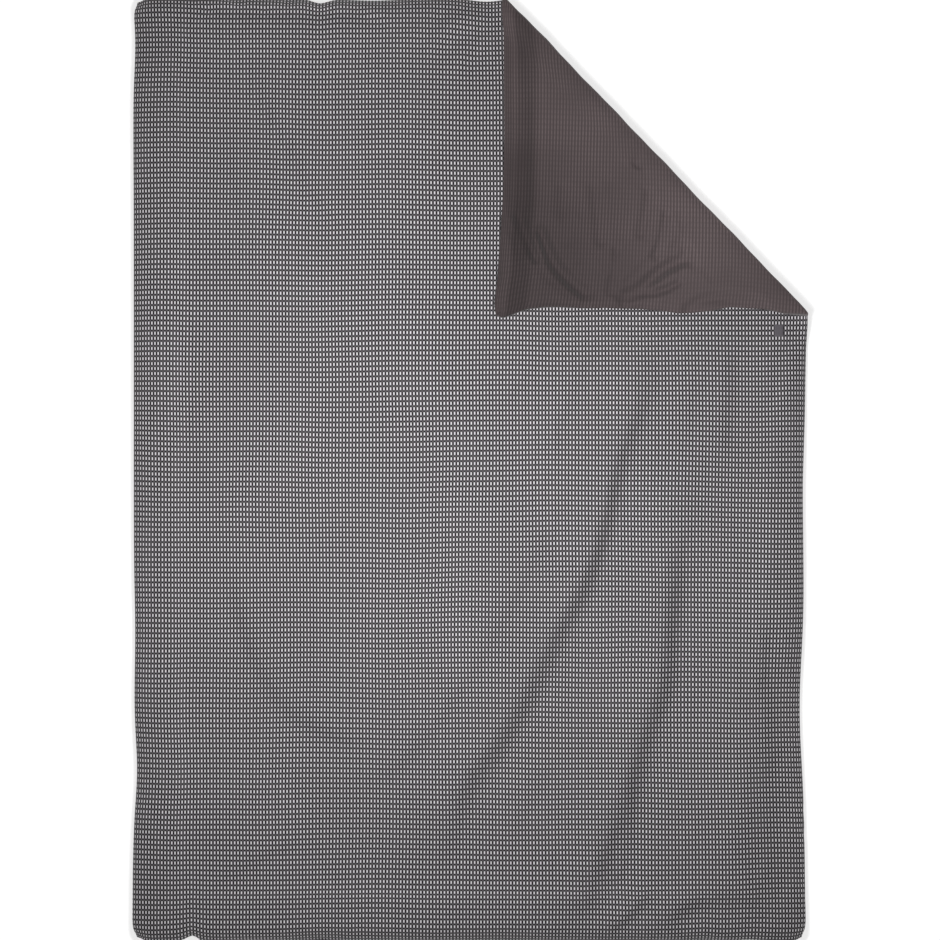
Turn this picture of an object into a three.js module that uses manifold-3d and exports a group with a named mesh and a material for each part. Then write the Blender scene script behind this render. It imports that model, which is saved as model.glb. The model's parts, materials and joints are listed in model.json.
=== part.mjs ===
// A filled duvet in its cover, lying flat with one head corner folded back over itself.
// Millimetres, +Z up, head end towards +Y, resting on its underside at z = 0.
import * as THREE from 'three';
import { mergeVertices } from 'three/addons/utils/BufferGeometryUtils.js';
import Module from 'manifold-3d';

const wasm = await Module();
wasm.setup();

// Driving dimensions.
const coverWidth = 1360;
const coverLength = 1900;
const loft = 38; // height of one filled layer
const foldedHead = 622; // length of the head edge that folds back
const foldedSide = 643; // length of the side edge that folds back
const foldClearance = 1; // between the lying layer and the folded corner
const cutClearance = 0.3; // either side of the fold line
const panelThickness = 1;
const tickingThickness = 0.8;
const layerGap = 0.5; // between one cloth layer and the next
const paddingGap = 1.2; // between the ticking and the fill under it
const sideSeamHeight = 14; // where the face panel meets the reverse panel
const seamGap = 1.5;
const openingTop = 25; // edge of the face panel along the zip
const openingBase = 4; // edge of the reverse panel along the zip
const zipHalfLength = 540;
const zipEndTaper = 40; // over which the opening closes to the plain seam
const hemDepth = 35;
const hemSetback = 10; // from the foot edge to the hems
const insertInset = 22; // from the cover's outline to the insert's
const insertLoft = 35.5;
const insertSeamHeight = 14.6;
const insertBaseHeight = 2.6;
const insertBaseSeam = 10.5;
const quiltDepth = 7;
const quiltSlope = 30; // how far from a stitch line the valley reaches
const quiltHalfGap = 1.5; // from a stitch line to the fill beside it
const columns = 4;
const rows = 6;
const padInset = 8; // from the insert's outline to the fill
const smallestPad = 50000; // a cell remnant under this volume holds no fill
const pipingThickness = 4;
const loopRadius = 6.5;
const tieRadius = 5.5;
const loopWidth = 4;
const tieWidth = 3;
const tapeThickness = 2; // of the loops and ties, through their ring
const zipHeight = 15.2; // centre of the closed chain
const chainFront = -944.9; // centre of the chain, front to back
const coilRadius = 1.1;
const coilOffset = 1.6; // from the centre of the chain to each coil
const zipTapeWidth = 11;
const zipTapeThickness = 0.5;
const tapeBehindChain = 0.3;
const tapeEdge = 0.7; // from the centre of the chain to each tape
const stopGap = 0.4; // between the chain's end and its stop
const stopHalfHeight = 3;
const stopLength = 4;
const stopDepth = 3;
const sliderLength = 10;
const sliderHeight = 9;
const plateThickness = 1;
const plateGap = 0.4; // between the chain and the slider's front plate
const webHalf = 0.2; // half the thickness of the web between the slider's plates
const earLength = 3.2;
const earInner = 2.6;
const earOuter = 3.8;
const earReach = 1.4; // past the pivot
const pivotReach = 2.1; // from the front plate to the pull's pivot
const pivotHole = 0.9;
const pinRadius = 0.6;
const pinLength = 8;
const pullLength = 24;
const pullWidth = 7;
const pullThickness = 1;
const pullNeck = 4.4; // width of the pull at its pivot
const pullNeckEnd = 6;
const pullShoulder = 9; // where the pull reaches its full width
const pullEye = 1.6; // radius of the hole in the pull's free end
const careLabelFrom = [-560, -870];
const careLabelSize = [35, 55];
const faceTabFrom = [611, 268];
const faceTabSize = [18, 24];
const labelThickness = 0.5;

// How a filled edge climbs from its seam: share of the roll's width, share of the height.
const edgeProfile = [[0, 0], [0.08, 0.4], [0.28, 0.7], [0.56, 0.9], [1, 1]];
const coverRoll = 50;
const reverseRoll = 30;
const insertRoll = 40;
const insertBaseRoll = 25;

const halfWidth = coverWidth / 2;
const halfLength = coverLength / 2;
const insertHalfWidth = halfWidth - insertInset;
const insertHalfLength = halfLength - insertInset;
const foldHeadEnd = new THREE.Vector3(halfWidth - foldedHead, halfLength, 0);
const foldSideEnd = new THREE.Vector3(halfWidth, halfLength - foldedSide, 0);
const foldDirection = foldHeadEnd.clone().sub(foldSideEnd).normalize();
const hingeHeight = loft + foldClearance / 2;

const duvet = new THREE.Group();
const foldedCorner = new THREE.Group();
duvet.add(foldedCorner);

// Materials.
function fabric(color, roughness = 0.9) {
  return new THREE.MeshStandardMaterial({ color, roughness, metalness: 0 });
}

function metal(color) {
  return new THREE.MeshStandardMaterial({ color, roughness: 0.35, metalness: 1 });
}

const faceCloth = 0x838085;
const reverseCloth = 0x5b5253;
const tickingCloth = 0xefece6;
const fillFibre = 0xf7f6f2;
const tapeCloth = 0x4c4546;
const zipMetal = 0xb9babd;
const labelSatin = 0xf2f0ec;
const tabCloth = 0x6e6a6e;

// Solids.
function toSolid(geometry) {
  const bare = geometry.index ? geometry.toNonIndexed() : geometry.clone();
  bare.deleteAttribute('normal');
  bare.deleteAttribute('uv');
  const merged = mergeVertices(bare, 0.0001);
  const vertProperties = Float32Array.from(merged.attributes.position.array);
  const triVerts = Uint32Array.from(merged.index.array);
  return new wasm.Manifold(new wasm.Mesh({ numProp: 3, vertProperties, triVerts }));
}

function toGeometry(solid) {
  const mesh = solid.getMesh();
  const geometry = new THREE.BufferGeometry();
  geometry.setAttribute('position', new THREE.BufferAttribute(Float32Array.from(mesh.vertProperties), 3));
  geometry.setIndex(new THREE.BufferAttribute(Uint32Array.from(mesh.triVerts), 1));
  geometry.computeVertexNormals();
  return geometry;
}

function addPart(group, name, solid, material) {
  const mesh = new THREE.Mesh(toGeometry(solid), material);
  mesh.name = name;
  group.add(mesh);
}

function block(lowX, highX, lowY, highY, lowZ, highZ) {
  const geometry = new THREE.BoxGeometry(highX - lowX, highY - lowY, highZ - lowZ);
  geometry.translate((lowX + highX) / 2, (lowY + highY) / 2, (lowZ + highZ) / 2);
  return toSolid(geometry);
}

function prism(points, lowZ, highZ) {
  const outline = new THREE.Shape(points.map(([x, y]) => new THREE.Vector2(x, y)));
  const geometry = new THREE.ExtrudeGeometry(outline, { depth: highZ - lowZ, bevelEnabled: false });
  geometry.translate(0, 0, lowZ);
  return toSolid(geometry);
}

// The solid between two height functions over a grid of x and y lines.
function layer(xs, ys, upper, lower) {
  const across = xs.length;
  const positions = [];
  for (const height of [lower, upper]) {
    for (const y of ys) {
      for (const x of xs) positions.push(x, y, height(x, y));
    }
  }
  const at = (level, i, j) => (level * ys.length + j) * across + i;
  const triangles = [];
  const quad = (a, b, c, d) => triangles.push(a, b, c, a, c, d);
  for (let j = 0; j < ys.length - 1; j += 1) {
    for (let i = 0; i < across - 1; i += 1) {
      // The diagonal runs towards the nearest corner, so that rolled edges meet in a mitre.
      const towardsCorner = (xs[i] + xs[i + 1]) * (ys[j] + ys[j + 1]) > 0;
      const cell = (level) => [
        at(level, i, j), at(level, i + 1, j), at(level, i + 1, j + 1), at(level, i, j + 1),
      ];
      const [a, b, c, d] = cell(1);
      const [e, f, g, h] = cell(0);
      if (towardsCorner) {
        quad(a, b, c, d);
        quad(g, f, e, h);
      } else {
        quad(b, c, d, a);
        quad(f, e, h, g);
      }
    }
  }
  for (let i = 0; i < across - 1; i += 1) {
    const last = ys.length - 1;
    quad(at(0, i, 0), at(0, i + 1, 0), at(1, i + 1, 0), at(1, i, 0));
    quad(at(0, i + 1, last), at(0, i, last), at(1, i, last), at(1, i + 1, last));
  }
  for (let j = 0; j < ys.length - 1; j += 1) {
    const last = across - 1;
    quad(at(0, 0, j + 1), at(0, 0, j), at(1, 0, j), at(1, 0, j + 1));
    quad(at(0, last, j), at(0, last, j + 1), at(1, last, j + 1), at(1, last, j));
  }
  const geometry = new THREE.BufferGeometry();
  geometry.setAttribute('position', new THREE.Float32BufferAttribute(positions, 3));
  geometry.setIndex(triangles);
  return toSolid(geometry);
}

// Everything on one side of the fold line.
const far = 2 * coverLength;

function besideFold(side) {
  const outward = new THREE.Vector3(foldDirection.y, -foldDirection.x, 0).multiplyScalar(side);
  const start = foldHeadEnd.clone()
    .addScaledVector(foldDirection, far)
    .addScaledVector(outward, cutClearance);
  const end = foldSideEnd.clone().addScaledVector(foldDirection, -far).addScaledVector(outward, cutClearance);
  const farEnd = end.clone().addScaledVector(outward, far);
  const farStart = start.clone().addScaledVector(outward, far);
  const points = [start, end, farEnd, farStart].map((point) => [point.x, point.y]);
  return prism(side > 0 ? points : points.reverse(), -loft, 2 * loft);
}

const mainSide = besideFold(-1);
const cornerSide = besideFold(1);

// Height of the cloth at a distance in from an outline.
function riseAt(distance, roll) {
  const share = Math.min(Math.max(distance / roll, 0), 1);
  for (let k = 1; k < edgeProfile.length; k += 1) {
    const [startShare, startRise] = edgeProfile[k - 1];
    const [endShare, endRise] = edgeProfile[k];
    if (share <= endShare) {
      return startRise + ((endRise - startRise) * (share - startShare)) / (endShare - startShare);
    }
  }
  return 1;
}

function insideDistance(x, y, halfX, halfY) {
  return Math.min(halfX - Math.abs(x), halfY - Math.abs(y));
}

// How far the foot seam is parted for the zip at x.
function openingShare(x, y) {
  if (y > 0) return 0;
  return Math.min(Math.max((zipHalfLength + zipEndTaper - Math.abs(x)) / zipEndTaper, 0), 1);
}

function coverTop(x, y) {
  const seam = sideSeamHeight + (openingTop - sideSeamHeight) * openingShare(x, y);
  return seam + (loft - seam) * riseAt(insideDistance(x, y, halfWidth, halfLength), coverRoll);
}

function coverBase(x, y) {
  const sideSeam = sideSeamHeight - panelThickness - seamGap;
  const seam = sideSeam + (openingBase - sideSeam) * openingShare(x, y);
  return seam * (1 - riseAt(insideDistance(x, y, halfWidth, halfLength), reverseRoll));
}

function stitchCloseness(value, half, cells) {
  const pitch = (2 * half) / cells;
  const nearest = Math.round((value + half) / pitch);
  if (nearest === 0 || nearest === cells) return 0;
  return Math.max(0, 1 - Math.abs(value + half - nearest * pitch) / quiltSlope);
}

function tickingTop(x, y) {
  const valley = Math.max(
    stitchCloseness(x, insertHalfWidth, columns),
    stitchCloseness(y, insertHalfLength, rows),
  );
  const crown = insertLoft - quiltDepth * valley;
  const rise = riseAt(insideDistance(x, y, insertHalfWidth, insertHalfLength), insertRoll);
  return insertSeamHeight + (crown - insertSeamHeight) * rise;
}

function tickingBase(x, y) {
  const rise = riseAt(insideDistance(x, y, insertHalfWidth, insertHalfLength), insertBaseRoll);
  return insertBaseSeam + (insertBaseHeight - insertBaseSeam) * rise;
}

const raised = (height, lift) => (x, y) => height(x, y) + lift;

// Grid lines: close together over a rolled edge, and wherever extra lines are named.
function gridLines(half, roll, extra = []) {
  const edge = edgeProfile.map(([share]) => share * roll);
  const lines = [...edge.map((d) => d - half), ...edge.map((d) => half - d), ...extra];
  return [...new Set(lines)].sort((a, b) => a - b);
}

function stitchLines(half, cells) {
  const lines = [];
  for (let k = 1; k < cells; k += 1) {
    const stitch = (2 * half * k) / cells - half;
    lines.push(stitch - quiltSlope, stitch, stitch + quiltSlope);
  }
  return lines;
}

// Splits a flat layer at the fold line into the lying part and the folded corner.
function addSplit(name, solid, material) {
  addPart(duvet, `${name}_main`, solid.intersect(mainSide), material);
  addPart(foldedCorner, `${name}_corner`, solid.intersect(cornerSide), material.clone());
}

// Cover: patterned face panel and plain reverse panel.
const zipEnds = [-zipHalfLength - zipEndTaper, -zipHalfLength, zipHalfLength, zipHalfLength + zipEndTaper];

function addCover() {
  const xs = gridLines(halfWidth, coverRoll, zipEnds);
  const ys = gridLines(halfLength, coverRoll);
  const face = layer(xs, ys, coverTop, raised(coverTop, -panelThickness));
  addSplit('cover_face', face, fabric(faceCloth));
  const reverseXs = gridLines(halfWidth, reverseRoll, zipEnds);
  const reverseYs = gridLines(halfLength, reverseRoll);
  const reverse = layer(reverseXs, reverseYs, raised(coverBase, panelThickness), coverBase);
  addSplit('cover_reverse', reverse, fabric(reverseCloth));
}

// Turned hems behind the zip, one under the face panel and one on the reverse panel.
function addHems() {
  const xs = [-zipHalfLength, 0, zipHalfLength];
  const hemStart = hemSetback - halfLength;
  const hemEnd = hemStart + hemDepth;
  const linesBetween = (lines) => lines.filter((y) => y > hemStart && y < hemEnd);
  const upperYs = [hemStart, ...linesBetween(gridLines(halfLength, coverRoll)), hemEnd];
  const upperTop = raised(coverTop, -panelThickness - layerGap);
  const upperBase = raised(coverTop, -panelThickness - layerGap - tickingThickness);
  addPart(duvet, 'hem_upper', layer(xs, upperYs, upperTop, upperBase), fabric(faceCloth));
  const lowerYs = [hemStart, ...linesBetween(gridLines(halfLength, reverseRoll)), hemEnd];
  const lowerBase = raised(coverBase, panelThickness + layerGap / 2);
  const lowerTop = raised(coverBase, panelThickness + layerGap / 2 + tickingThickness);
  addPart(duvet, 'hem_lower', layer(xs, lowerYs, lowerTop, lowerBase), fabric(reverseCloth));
}

// Insert: box-stitched ticking round a grid of separate fill pads, with piping at its edge.
const tickingXs = gridLines(insertHalfWidth, insertRoll, stitchLines(insertHalfWidth, columns));
const tickingYs = gridLines(insertHalfLength, insertRoll, stitchLines(insertHalfLength, rows));

function addTicking() {
  const top = layer(tickingXs, tickingYs, tickingTop, raised(tickingTop, -tickingThickness));
  addSplit('ticking_top', top, fabric(tickingCloth));
  const baseXs = gridLines(insertHalfWidth, insertBaseRoll);
  const baseYs = gridLines(insertHalfLength, insertBaseRoll);
  const base = layer(baseXs, baseYs, raised(tickingBase, tickingThickness), tickingBase);
  addSplit('ticking_base', base, fabric(tickingCloth));
}

function padLines(index, cells, half, lines) {
  const pitch = (2 * half) / cells;
  const low = index === 0 ? padInset - half : index * pitch - half + quiltHalfGap;
  const high = index === cells - 1 ? half - padInset : (index + 1) * pitch - half - quiltHalfGap;
  return [low, ...lines.filter((value) => value > low + 1 && value < high - 1), high];
}

function addFillPads() {
  const upper = raised(tickingTop, -tickingThickness - paddingGap);
  const lower = raised(tickingBase, tickingThickness + layerGap);
  for (let row = 0; row < rows; row += 1) {
    const ys = padLines(row, rows, insertHalfLength, tickingYs);
    for (let column = 0; column < columns; column += 1) {
      const xs = padLines(column, columns, insertHalfWidth, tickingXs);
      const pad = layer(xs, ys, upper, lower);
      const name = `fill_pad_r${row + 1}_c${column + 1}`;
      const lying = pad.intersect(mainSide);
      const folded = pad.intersect(cornerSide);
      const isSplit = lying.volume() > smallestPad && folded.volume() > smallestPad;
      if (lying.volume() > smallestPad) addPart(duvet, name, lying, fabric(fillFibre, 1));
      const foldedName = isSplit ? `${name}_corner` : name;
      if (folded.volume() > smallestPad) addPart(foldedCorner, foldedName, folded, fabric(fillFibre, 1));
    }
  }
}

function addPiping() {
  const inner = [insertHalfWidth + layerGap, insertHalfLength + layerGap];
  const outer = [inner[0] + pipingThickness, inner[1] + pipingThickness];
  const low = insertSeamHeight - pipingThickness;
  const ring = block(-outer[0], outer[0], -outer[1], outer[1], low, low + pipingThickness)
    .subtract(block(-inner[0], inner[0], -inner[1], inner[1], low - 1, low + pipingThickness + 1));
  addSplit('insert_piping', ring, fabric(tickingCloth));
}

// A ring of tape about +Z, centred on the origin.
function tapeRing(radius, width) {
  const outline = new THREE.Shape().absarc(0, 0, radius, 0, 2 * Math.PI);
  outline.holes.push(new THREE.Path().absarc(0, 0, radius - tapeThickness, 0, 2 * Math.PI, true));
  const settings = { depth: width, bevelEnabled: false, curveSegments: 8 };
  const geometry = new THREE.ExtrudeGeometry(outline, settings);
  geometry.translate(0, 0, -width / 2);
  return geometry;
}

// At each corner a loop on the insert is linked to a tie sewn into the cover, so the fill can't slip.
function addCornerTies() {
  const reach = insertHalfWidth + layerGap + pipingThickness;
  const reachLength = insertHalfLength + layerGap + pipingThickness;
  const clearOfPiping = (layerGap + loopRadius) * Math.SQRT1_2;
  const height = sideSeamHeight;
  for (const [endName, endSign] of [['foot', -1], ['head', 1]]) {
    for (const [sideName, sideSign] of [['left', -1], ['right', 1]]) {
      const group = endName === 'head' && sideName === 'right' ? foldedCorner : duvet;
      const centre = [sideSign * (reach + clearOfPiping), endSign * (reachLength + clearOfPiping)];
      const loop = tapeRing(loopRadius, loopWidth);
      loop.translate(centre[0], centre[1], height);
      const loopSolid = toSolid(loop);
      addPart(group, `insert_loop_${endName}_${sideName}`, loopSolid, fabric(tickingCloth));
      const tie = tapeRing(tieRadius, tieWidth);
      tie.rotateX(Math.PI / 2);
      tie.rotateZ(Math.atan2(endSign, sideSign));
      const shift = (loopRadius - tapeThickness / 2) * Math.SQRT1_2;
      tie.translate(centre[0] + sideSign * shift, centre[1] + endSign * shift, height);
      addPart(group, `cover_tie_${endName}_${sideName}`, toSolid(tie), fabric(tapeCloth));
    }
  }
}

// Zip along the foot seam: two tapes, two coils, end stops, slider and pull.
function coilRod(height) {
  const geometry = new THREE.CylinderGeometry(coilRadius, coilRadius, 2 * zipHalfLength, 10);
  geometry.rotateZ(Math.PI / 2);
  geometry.translate(0, chainFront, height);
  return toSolid(geometry);
}

function addZipTrack() {
  const tapeFront = chainFront + coilRadius + tapeBehindChain;
  const tapeBack = tapeFront + zipTapeThickness;
  for (const [name, side] of [['upper', 1], ['lower', -1]]) {
    const near = zipHeight + side * tapeEdge;
    const end = near + side * zipTapeWidth;
    const low = Math.min(near, end);
    const tape = block(-zipHalfLength, zipHalfLength, tapeFront, tapeBack, low, low + zipTapeWidth);
    addPart(duvet, `zip_tape_${name}`, tape, fabric(tapeCloth));
    addPart(duvet, `zip_coil_${name}`, coilRod(zipHeight + side * coilOffset), fabric(tapeCloth, 0.5));
  }
  const back = tapeFront - tapeBehindChain;
  for (const [name, side] of [['left', -1], ['right', 1]]) {
    const near = side * (zipHalfLength + stopGap);
    const end = near + side * stopLength;
    const stop = block(Math.min(near, end), Math.max(near, end), back - stopDepth, back,
      zipHeight - stopHalfHeight, zipHeight + stopHalfHeight);
    addPart(duvet, `zip_stop_${name}`, stop, metal(zipMetal));
  }
}

// The slider's two plates hold the chain between them, joined by a web that runs between the coils.
const sliderCentre = zipHalfLength - 2 * sliderLength;
const plateFront = chainFront - coilRadius - plateGap;
const pivotFront = plateFront - pivotReach;

function addSlider() {
  const low = sliderCentre - sliderLength / 2;
  const high = sliderCentre + sliderLength / 2;
  const bottom = zipHeight - sliderHeight / 2;
  const top = zipHeight + sliderHeight / 2;
  const tapeBack = chainFront + coilRadius + tapeBehindChain + zipTapeThickness;
  const backPlate = tapeBack + layerGap;
  const overlap = plateThickness / 2;
  let slider = block(low, high, plateFront - plateThickness, plateFront, bottom, top)
    .add(block(low, high, backPlate, backPlate + plateThickness, bottom, top))
    .add(block(low, high, plateFront - overlap, backPlate + overlap,
      zipHeight - webHalf, zipHeight + webHalf));
  for (const side of [-1, 1]) {
    const near = zipHeight + side * earInner;
    const end = zipHeight + side * earOuter;
    const ear = block(sliderCentre - earLength / 2, sliderCentre + earLength / 2, pivotFront - earReach,
      plateFront - overlap, Math.min(near, end), Math.max(near, end));
    slider = slider.add(ear);
  }
  const hole = new THREE.CylinderGeometry(pivotHole, pivotHole, sliderHeight * 2, 16);
  hole.rotateX(Math.PI / 2);
  hole.translate(sliderCentre, pivotFront, zipHeight);
  addPart(duvet, 'zip_slider', slider.subtract(toSolid(hole)), metal(zipMetal));
}

function addPull() {
  const outline = new THREE.Shape();
  const end = pullLength - pullWidth / 2;
  const neck = pullNeck / 2;
  outline.moveTo(0, -neck);
  outline.lineTo(pullNeckEnd, -neck);
  outline.lineTo(pullShoulder, -pullWidth / 2);
  outline.lineTo(end, -pullWidth / 2);
  outline.absarc(end, 0, pullWidth / 2, -Math.PI / 2, Math.PI / 2);
  outline.lineTo(pullShoulder, pullWidth / 2);
  outline.lineTo(pullNeckEnd, neck);
  outline.lineTo(0, neck);
  outline.holes.push(new THREE.Path().absarc(end, 0, pullEye, 0, 2 * Math.PI, true));
  const settings = { depth: pullThickness, bevelEnabled: false, curveSegments: 10 };
  const plate = new THREE.ExtrudeGeometry(outline, settings);
  plate.translate(0, 0, -pullThickness / 2);
  plate.rotateX(Math.PI / 2);
  plate.rotateZ(Math.PI);
  const pin = new THREE.CylinderGeometry(pinRadius, pinRadius, pinLength, 12);
  pin.rotateX(Math.PI / 2);
  const pull = toSolid(plate).add(toSolid(pin)).translate([sliderCentre, pivotFront, zipHeight]);
  addPart(duvet, 'zip_pull', pull, metal(zipMetal));
}

// Blank care label inside the cover, and a plain stitched tab on the face below the fold.
function addLabels() {
  const patch = ([x, y], [width, length], low) =>
    block(x, x + width, y, y + length, low, low + labelThickness);
  const careLabel = patch(careLabelFrom, careLabelSize, insertLoft + layerGap);
  addPart(duvet, 'care_label', careLabel, fabric(labelSatin, 0.6));
  addPart(duvet, 'face_tab', patch(faceTabFrom, faceTabSize, loft + cutClearance), fabric(tabCloth));
}

addCover();
addHems();
addTicking();
addFillPads();
addPiping();
addCornerTies();
addZipTrack();
addSlider();
addPull();
addLabels();

// The corner is modelled flat, then folded half a turn about the fold line onto the lying layer.
const foldPoint = foldHeadEnd.clone().lerp(foldSideEnd, 0.5).setZ(hingeHeight);
foldedCorner.quaternion.setFromAxisAngle(foldDirection, Math.PI);
foldedCorner.position.copy(foldPoint).sub(foldPoint.clone().applyQuaternion(foldedCorner.quaternion));

export default duvet;
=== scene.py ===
import json
import math
import bmesh
import bpy
import numpy as np
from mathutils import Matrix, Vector
from mathutils.bvhtree import BVHTree


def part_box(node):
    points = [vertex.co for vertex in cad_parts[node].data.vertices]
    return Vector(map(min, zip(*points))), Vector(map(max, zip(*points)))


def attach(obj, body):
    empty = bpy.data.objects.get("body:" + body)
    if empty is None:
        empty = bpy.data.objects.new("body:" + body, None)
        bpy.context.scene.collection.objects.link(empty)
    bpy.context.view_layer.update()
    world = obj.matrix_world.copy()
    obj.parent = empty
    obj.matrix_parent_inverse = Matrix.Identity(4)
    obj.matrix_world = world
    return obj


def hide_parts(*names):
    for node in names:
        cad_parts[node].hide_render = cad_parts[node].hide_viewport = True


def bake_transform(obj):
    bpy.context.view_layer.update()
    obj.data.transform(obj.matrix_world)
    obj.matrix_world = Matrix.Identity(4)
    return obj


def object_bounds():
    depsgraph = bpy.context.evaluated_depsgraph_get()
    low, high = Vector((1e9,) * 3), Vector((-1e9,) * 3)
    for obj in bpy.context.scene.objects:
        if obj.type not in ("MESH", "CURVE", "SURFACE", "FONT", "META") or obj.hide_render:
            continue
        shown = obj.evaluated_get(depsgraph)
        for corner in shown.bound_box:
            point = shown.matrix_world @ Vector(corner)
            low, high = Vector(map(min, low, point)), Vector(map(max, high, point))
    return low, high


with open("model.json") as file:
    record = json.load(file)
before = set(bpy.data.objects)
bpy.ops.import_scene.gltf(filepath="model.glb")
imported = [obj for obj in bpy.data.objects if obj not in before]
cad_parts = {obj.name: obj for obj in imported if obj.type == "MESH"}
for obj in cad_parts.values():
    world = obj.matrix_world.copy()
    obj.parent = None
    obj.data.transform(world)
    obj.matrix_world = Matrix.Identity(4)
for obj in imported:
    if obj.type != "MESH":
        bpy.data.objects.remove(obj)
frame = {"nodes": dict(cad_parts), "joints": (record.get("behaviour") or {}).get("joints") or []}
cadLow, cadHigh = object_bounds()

scene = bpy.context.scene

# places taken from the frame
halfWidth = cadHigh.x
halfLength = cadHigh.y
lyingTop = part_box("cover_face_main")[1].z              # height of one filled layer
foldJoint = [j for j in frame["joints"] if j["name"] == "corner_fold"][0]
foldPoint = Vector(foldJoint["pos_m"])
hingeHeight = foldPoint.z
foldAxis = Vector(foldJoint["axis"]).normalized()
foldNormal = np.array([foldAxis.y, -foldAxis.x])       # level, away from the lying part
foldOffset = foldPoint.x * foldNormal[0] + foldPoint.y * foldNormal[1]
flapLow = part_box("cover_face_corner")[0]               # the folded corner's tip, in x and y
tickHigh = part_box("ticking_top_main")[1]

# camera, floor and light
studio = {
    "lens": 120,             # mm, long, so that the top view is nearly parallel
    "height": 6.325,          # m above the floor
    "aim": (0.0, 0.0),
    "floorColour": "d2d2d2",
    "glow": 0.72,            # the floor is a lit sweep, so it stays white under the duvet's edges
    "keyPlace": (-0.04, 0.06, 1.78),
    "keyPower": 30.0,
    "keySize": 0.45,
    "skyStrength": 0.16,
}


def srgb(hexColour):
    parts = [int(hexColour[k:k + 2], 16) / 255 for k in (0, 2, 4)]
    return tuple(c / 12.92 if c <= 0.04045 else ((c + 0.055) / 1.055) ** 2.4 for c in parts) + (1.0,)


def addNode(tree, kind, inputs=None, **settings):
    # an input is a plain value, an output socket, or a node whose first output is meant
    node = tree.nodes.new("ShaderNode" + kind)
    for name, value in settings.items():
        setattr(node, name, value)
    for name, value in (inputs or {}).items():
        if isinstance(value, bpy.types.Node):
            value = value.outputs[0]
        if isinstance(value, bpy.types.NodeSocket):
            tree.links.new(value, node.inputs[name])
        else:
            node.inputs[name].default_value = value
    return node


def startMaterial(name):
    material = bpy.data.materials.new(name)
    material.use_nodes = True
    material.node_tree.nodes.clear()
    return material, material.node_tree


def buildStudio():
    camera = bpy.data.objects.new("camera", bpy.data.cameras.new("camera"))
    camera.data.lens = studio["lens"]
    camera.data.sensor_width = 36
    camera.data.clip_end = 50
    camera.location = (studio["aim"][0], studio["aim"][1], studio["height"])
    scene.collection.objects.link(camera)
    scene.camera = camera

    bpy.ops.mesh.primitive_plane_add(size=30, location=(0, 0, -0.0005))
    floor = bpy.context.object
    floor.name = "floor"
    material, tree = startMaterial("matte white paper sweep")
    grain = addNode(tree, "TexNoise", {"Scale": 3.0, "Detail": 3.0})
    tone = addNode(tree, "MapRange", {"Value": grain, "To Min": 0.97, "To Max": 1.0})
    colour = addNode(tree, "Mix", {0: tone, 6: (0.86, 0.86, 0.86, 1), 7: srgb(studio["floorColour"])},
                     data_type="RGBA")
    surface = addNode(tree, "BsdfPrincipled", {"Base Color": colour.outputs[2], "Roughness": 0.9,
                      "Emission Color": (1, 1, 1, 1), "Emission Strength": studio["glow"]})
    addNode(tree, "OutputMaterial", {"Surface": surface})
    floor.data.materials.append(material)

    world = bpy.data.worlds.new("softWhiteRoom")
    world.use_nodes = True
    world.node_tree.nodes["Background"].inputs[0].default_value = (1.0, 1.0, 1.0, 1)
    world.node_tree.nodes["Background"].inputs[1].default_value = studio["skyStrength"]
    scene.world = world
    light = bpy.data.lights.new("overheadSoftbox", "AREA")
    light.energy = studio["keyPower"]
    light.size = studio["keySize"]
    lamp = bpy.data.objects.new("overheadSoftbox", light)
    lamp.location = studio["keyPlace"]
    lamp.visible_camera = False
    scene.collection.objects.link(lamp)
    scene.view_settings.view_transform = "Standard"
    print("studio ready")


buildStudio()

# the cover's shape, in metres
cover = {
    "cell": 0.016,           # spacing of the cloth grid before it is doubled
    "restHeight": 0.045,     # free layer, away from the folded corner
    "seamHeight": 0.013,
    "zipHeight": 0.0152,
    "zipHalf": 0.540,
    "zipGap": 0.0106,        # opening between the two lips of cloth at the zip
    "lipDepth": 0.9468,      # how far out the lips end
    "bearing": 0.14,         # how far from the folded corner the layer below is pressed down
    "cornerPull": 0.009,
    "puckerDepth": 0.0022,
    "foldBulge": (0.006, 0.010),   # at the fold's right end and at its head end
    "foldLift": 0.010,       # how far the outside of the fold is rounded in, above and below
    "foldRound": 0.050,
    "flapSink": 0.0024,      # how far the folded corner's top lies below its highest creases
    "creaseLimit": 0.0220,   # the deepest that creases may go where they meet
    "clothExcess": (1.016, 1.013, 1.0),   # how much larger the cloth is cut than its filling
    "simFrames": 20,
    "simReach": 0.009,       # how far the simulation may move a point
    "foldStrength": 1.9,
    "creaseStrength": 2.7,
    "creaseRim": 0.30,       # how far a crease's rims rise, as a share of its depth
    "edgeRise": 0.030,       # height gained between the seam and the top, for the cloth's length
    "pillow": 1.85,          # 1 gives a round edge, 2 an edge that keeps on rising further in
    "wrinkles": 0.0015,      # height of the fine wrinkles that run with the folds
}
clothSettings = {
    "quality": 6,
    "mass": 0.2,
    "tension_stiffness": 25,
    "compression_stiffness": 25,
    "shear_stiffness": 8,
    "bending_stiffness": 0.35,
    "air_damping": 3,
    "pin_stiffness": 1,
    "use_pressure": True,
    "uniform_pressure_force": 3.0,   # the filling pushes gently outwards
}
# the face's filled edge on each side: how far it reaches in, how far its seam is rolled under in degrees
faceRoll = {"left": (0.066, 20), "right": (0.080, 10), "foot": (0.024, 12), "head": (0.024, 40)}
reverseRoll = {"left": 0.026, "right": 0.045, "foot": 0.026, "head": 0.055}

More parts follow.
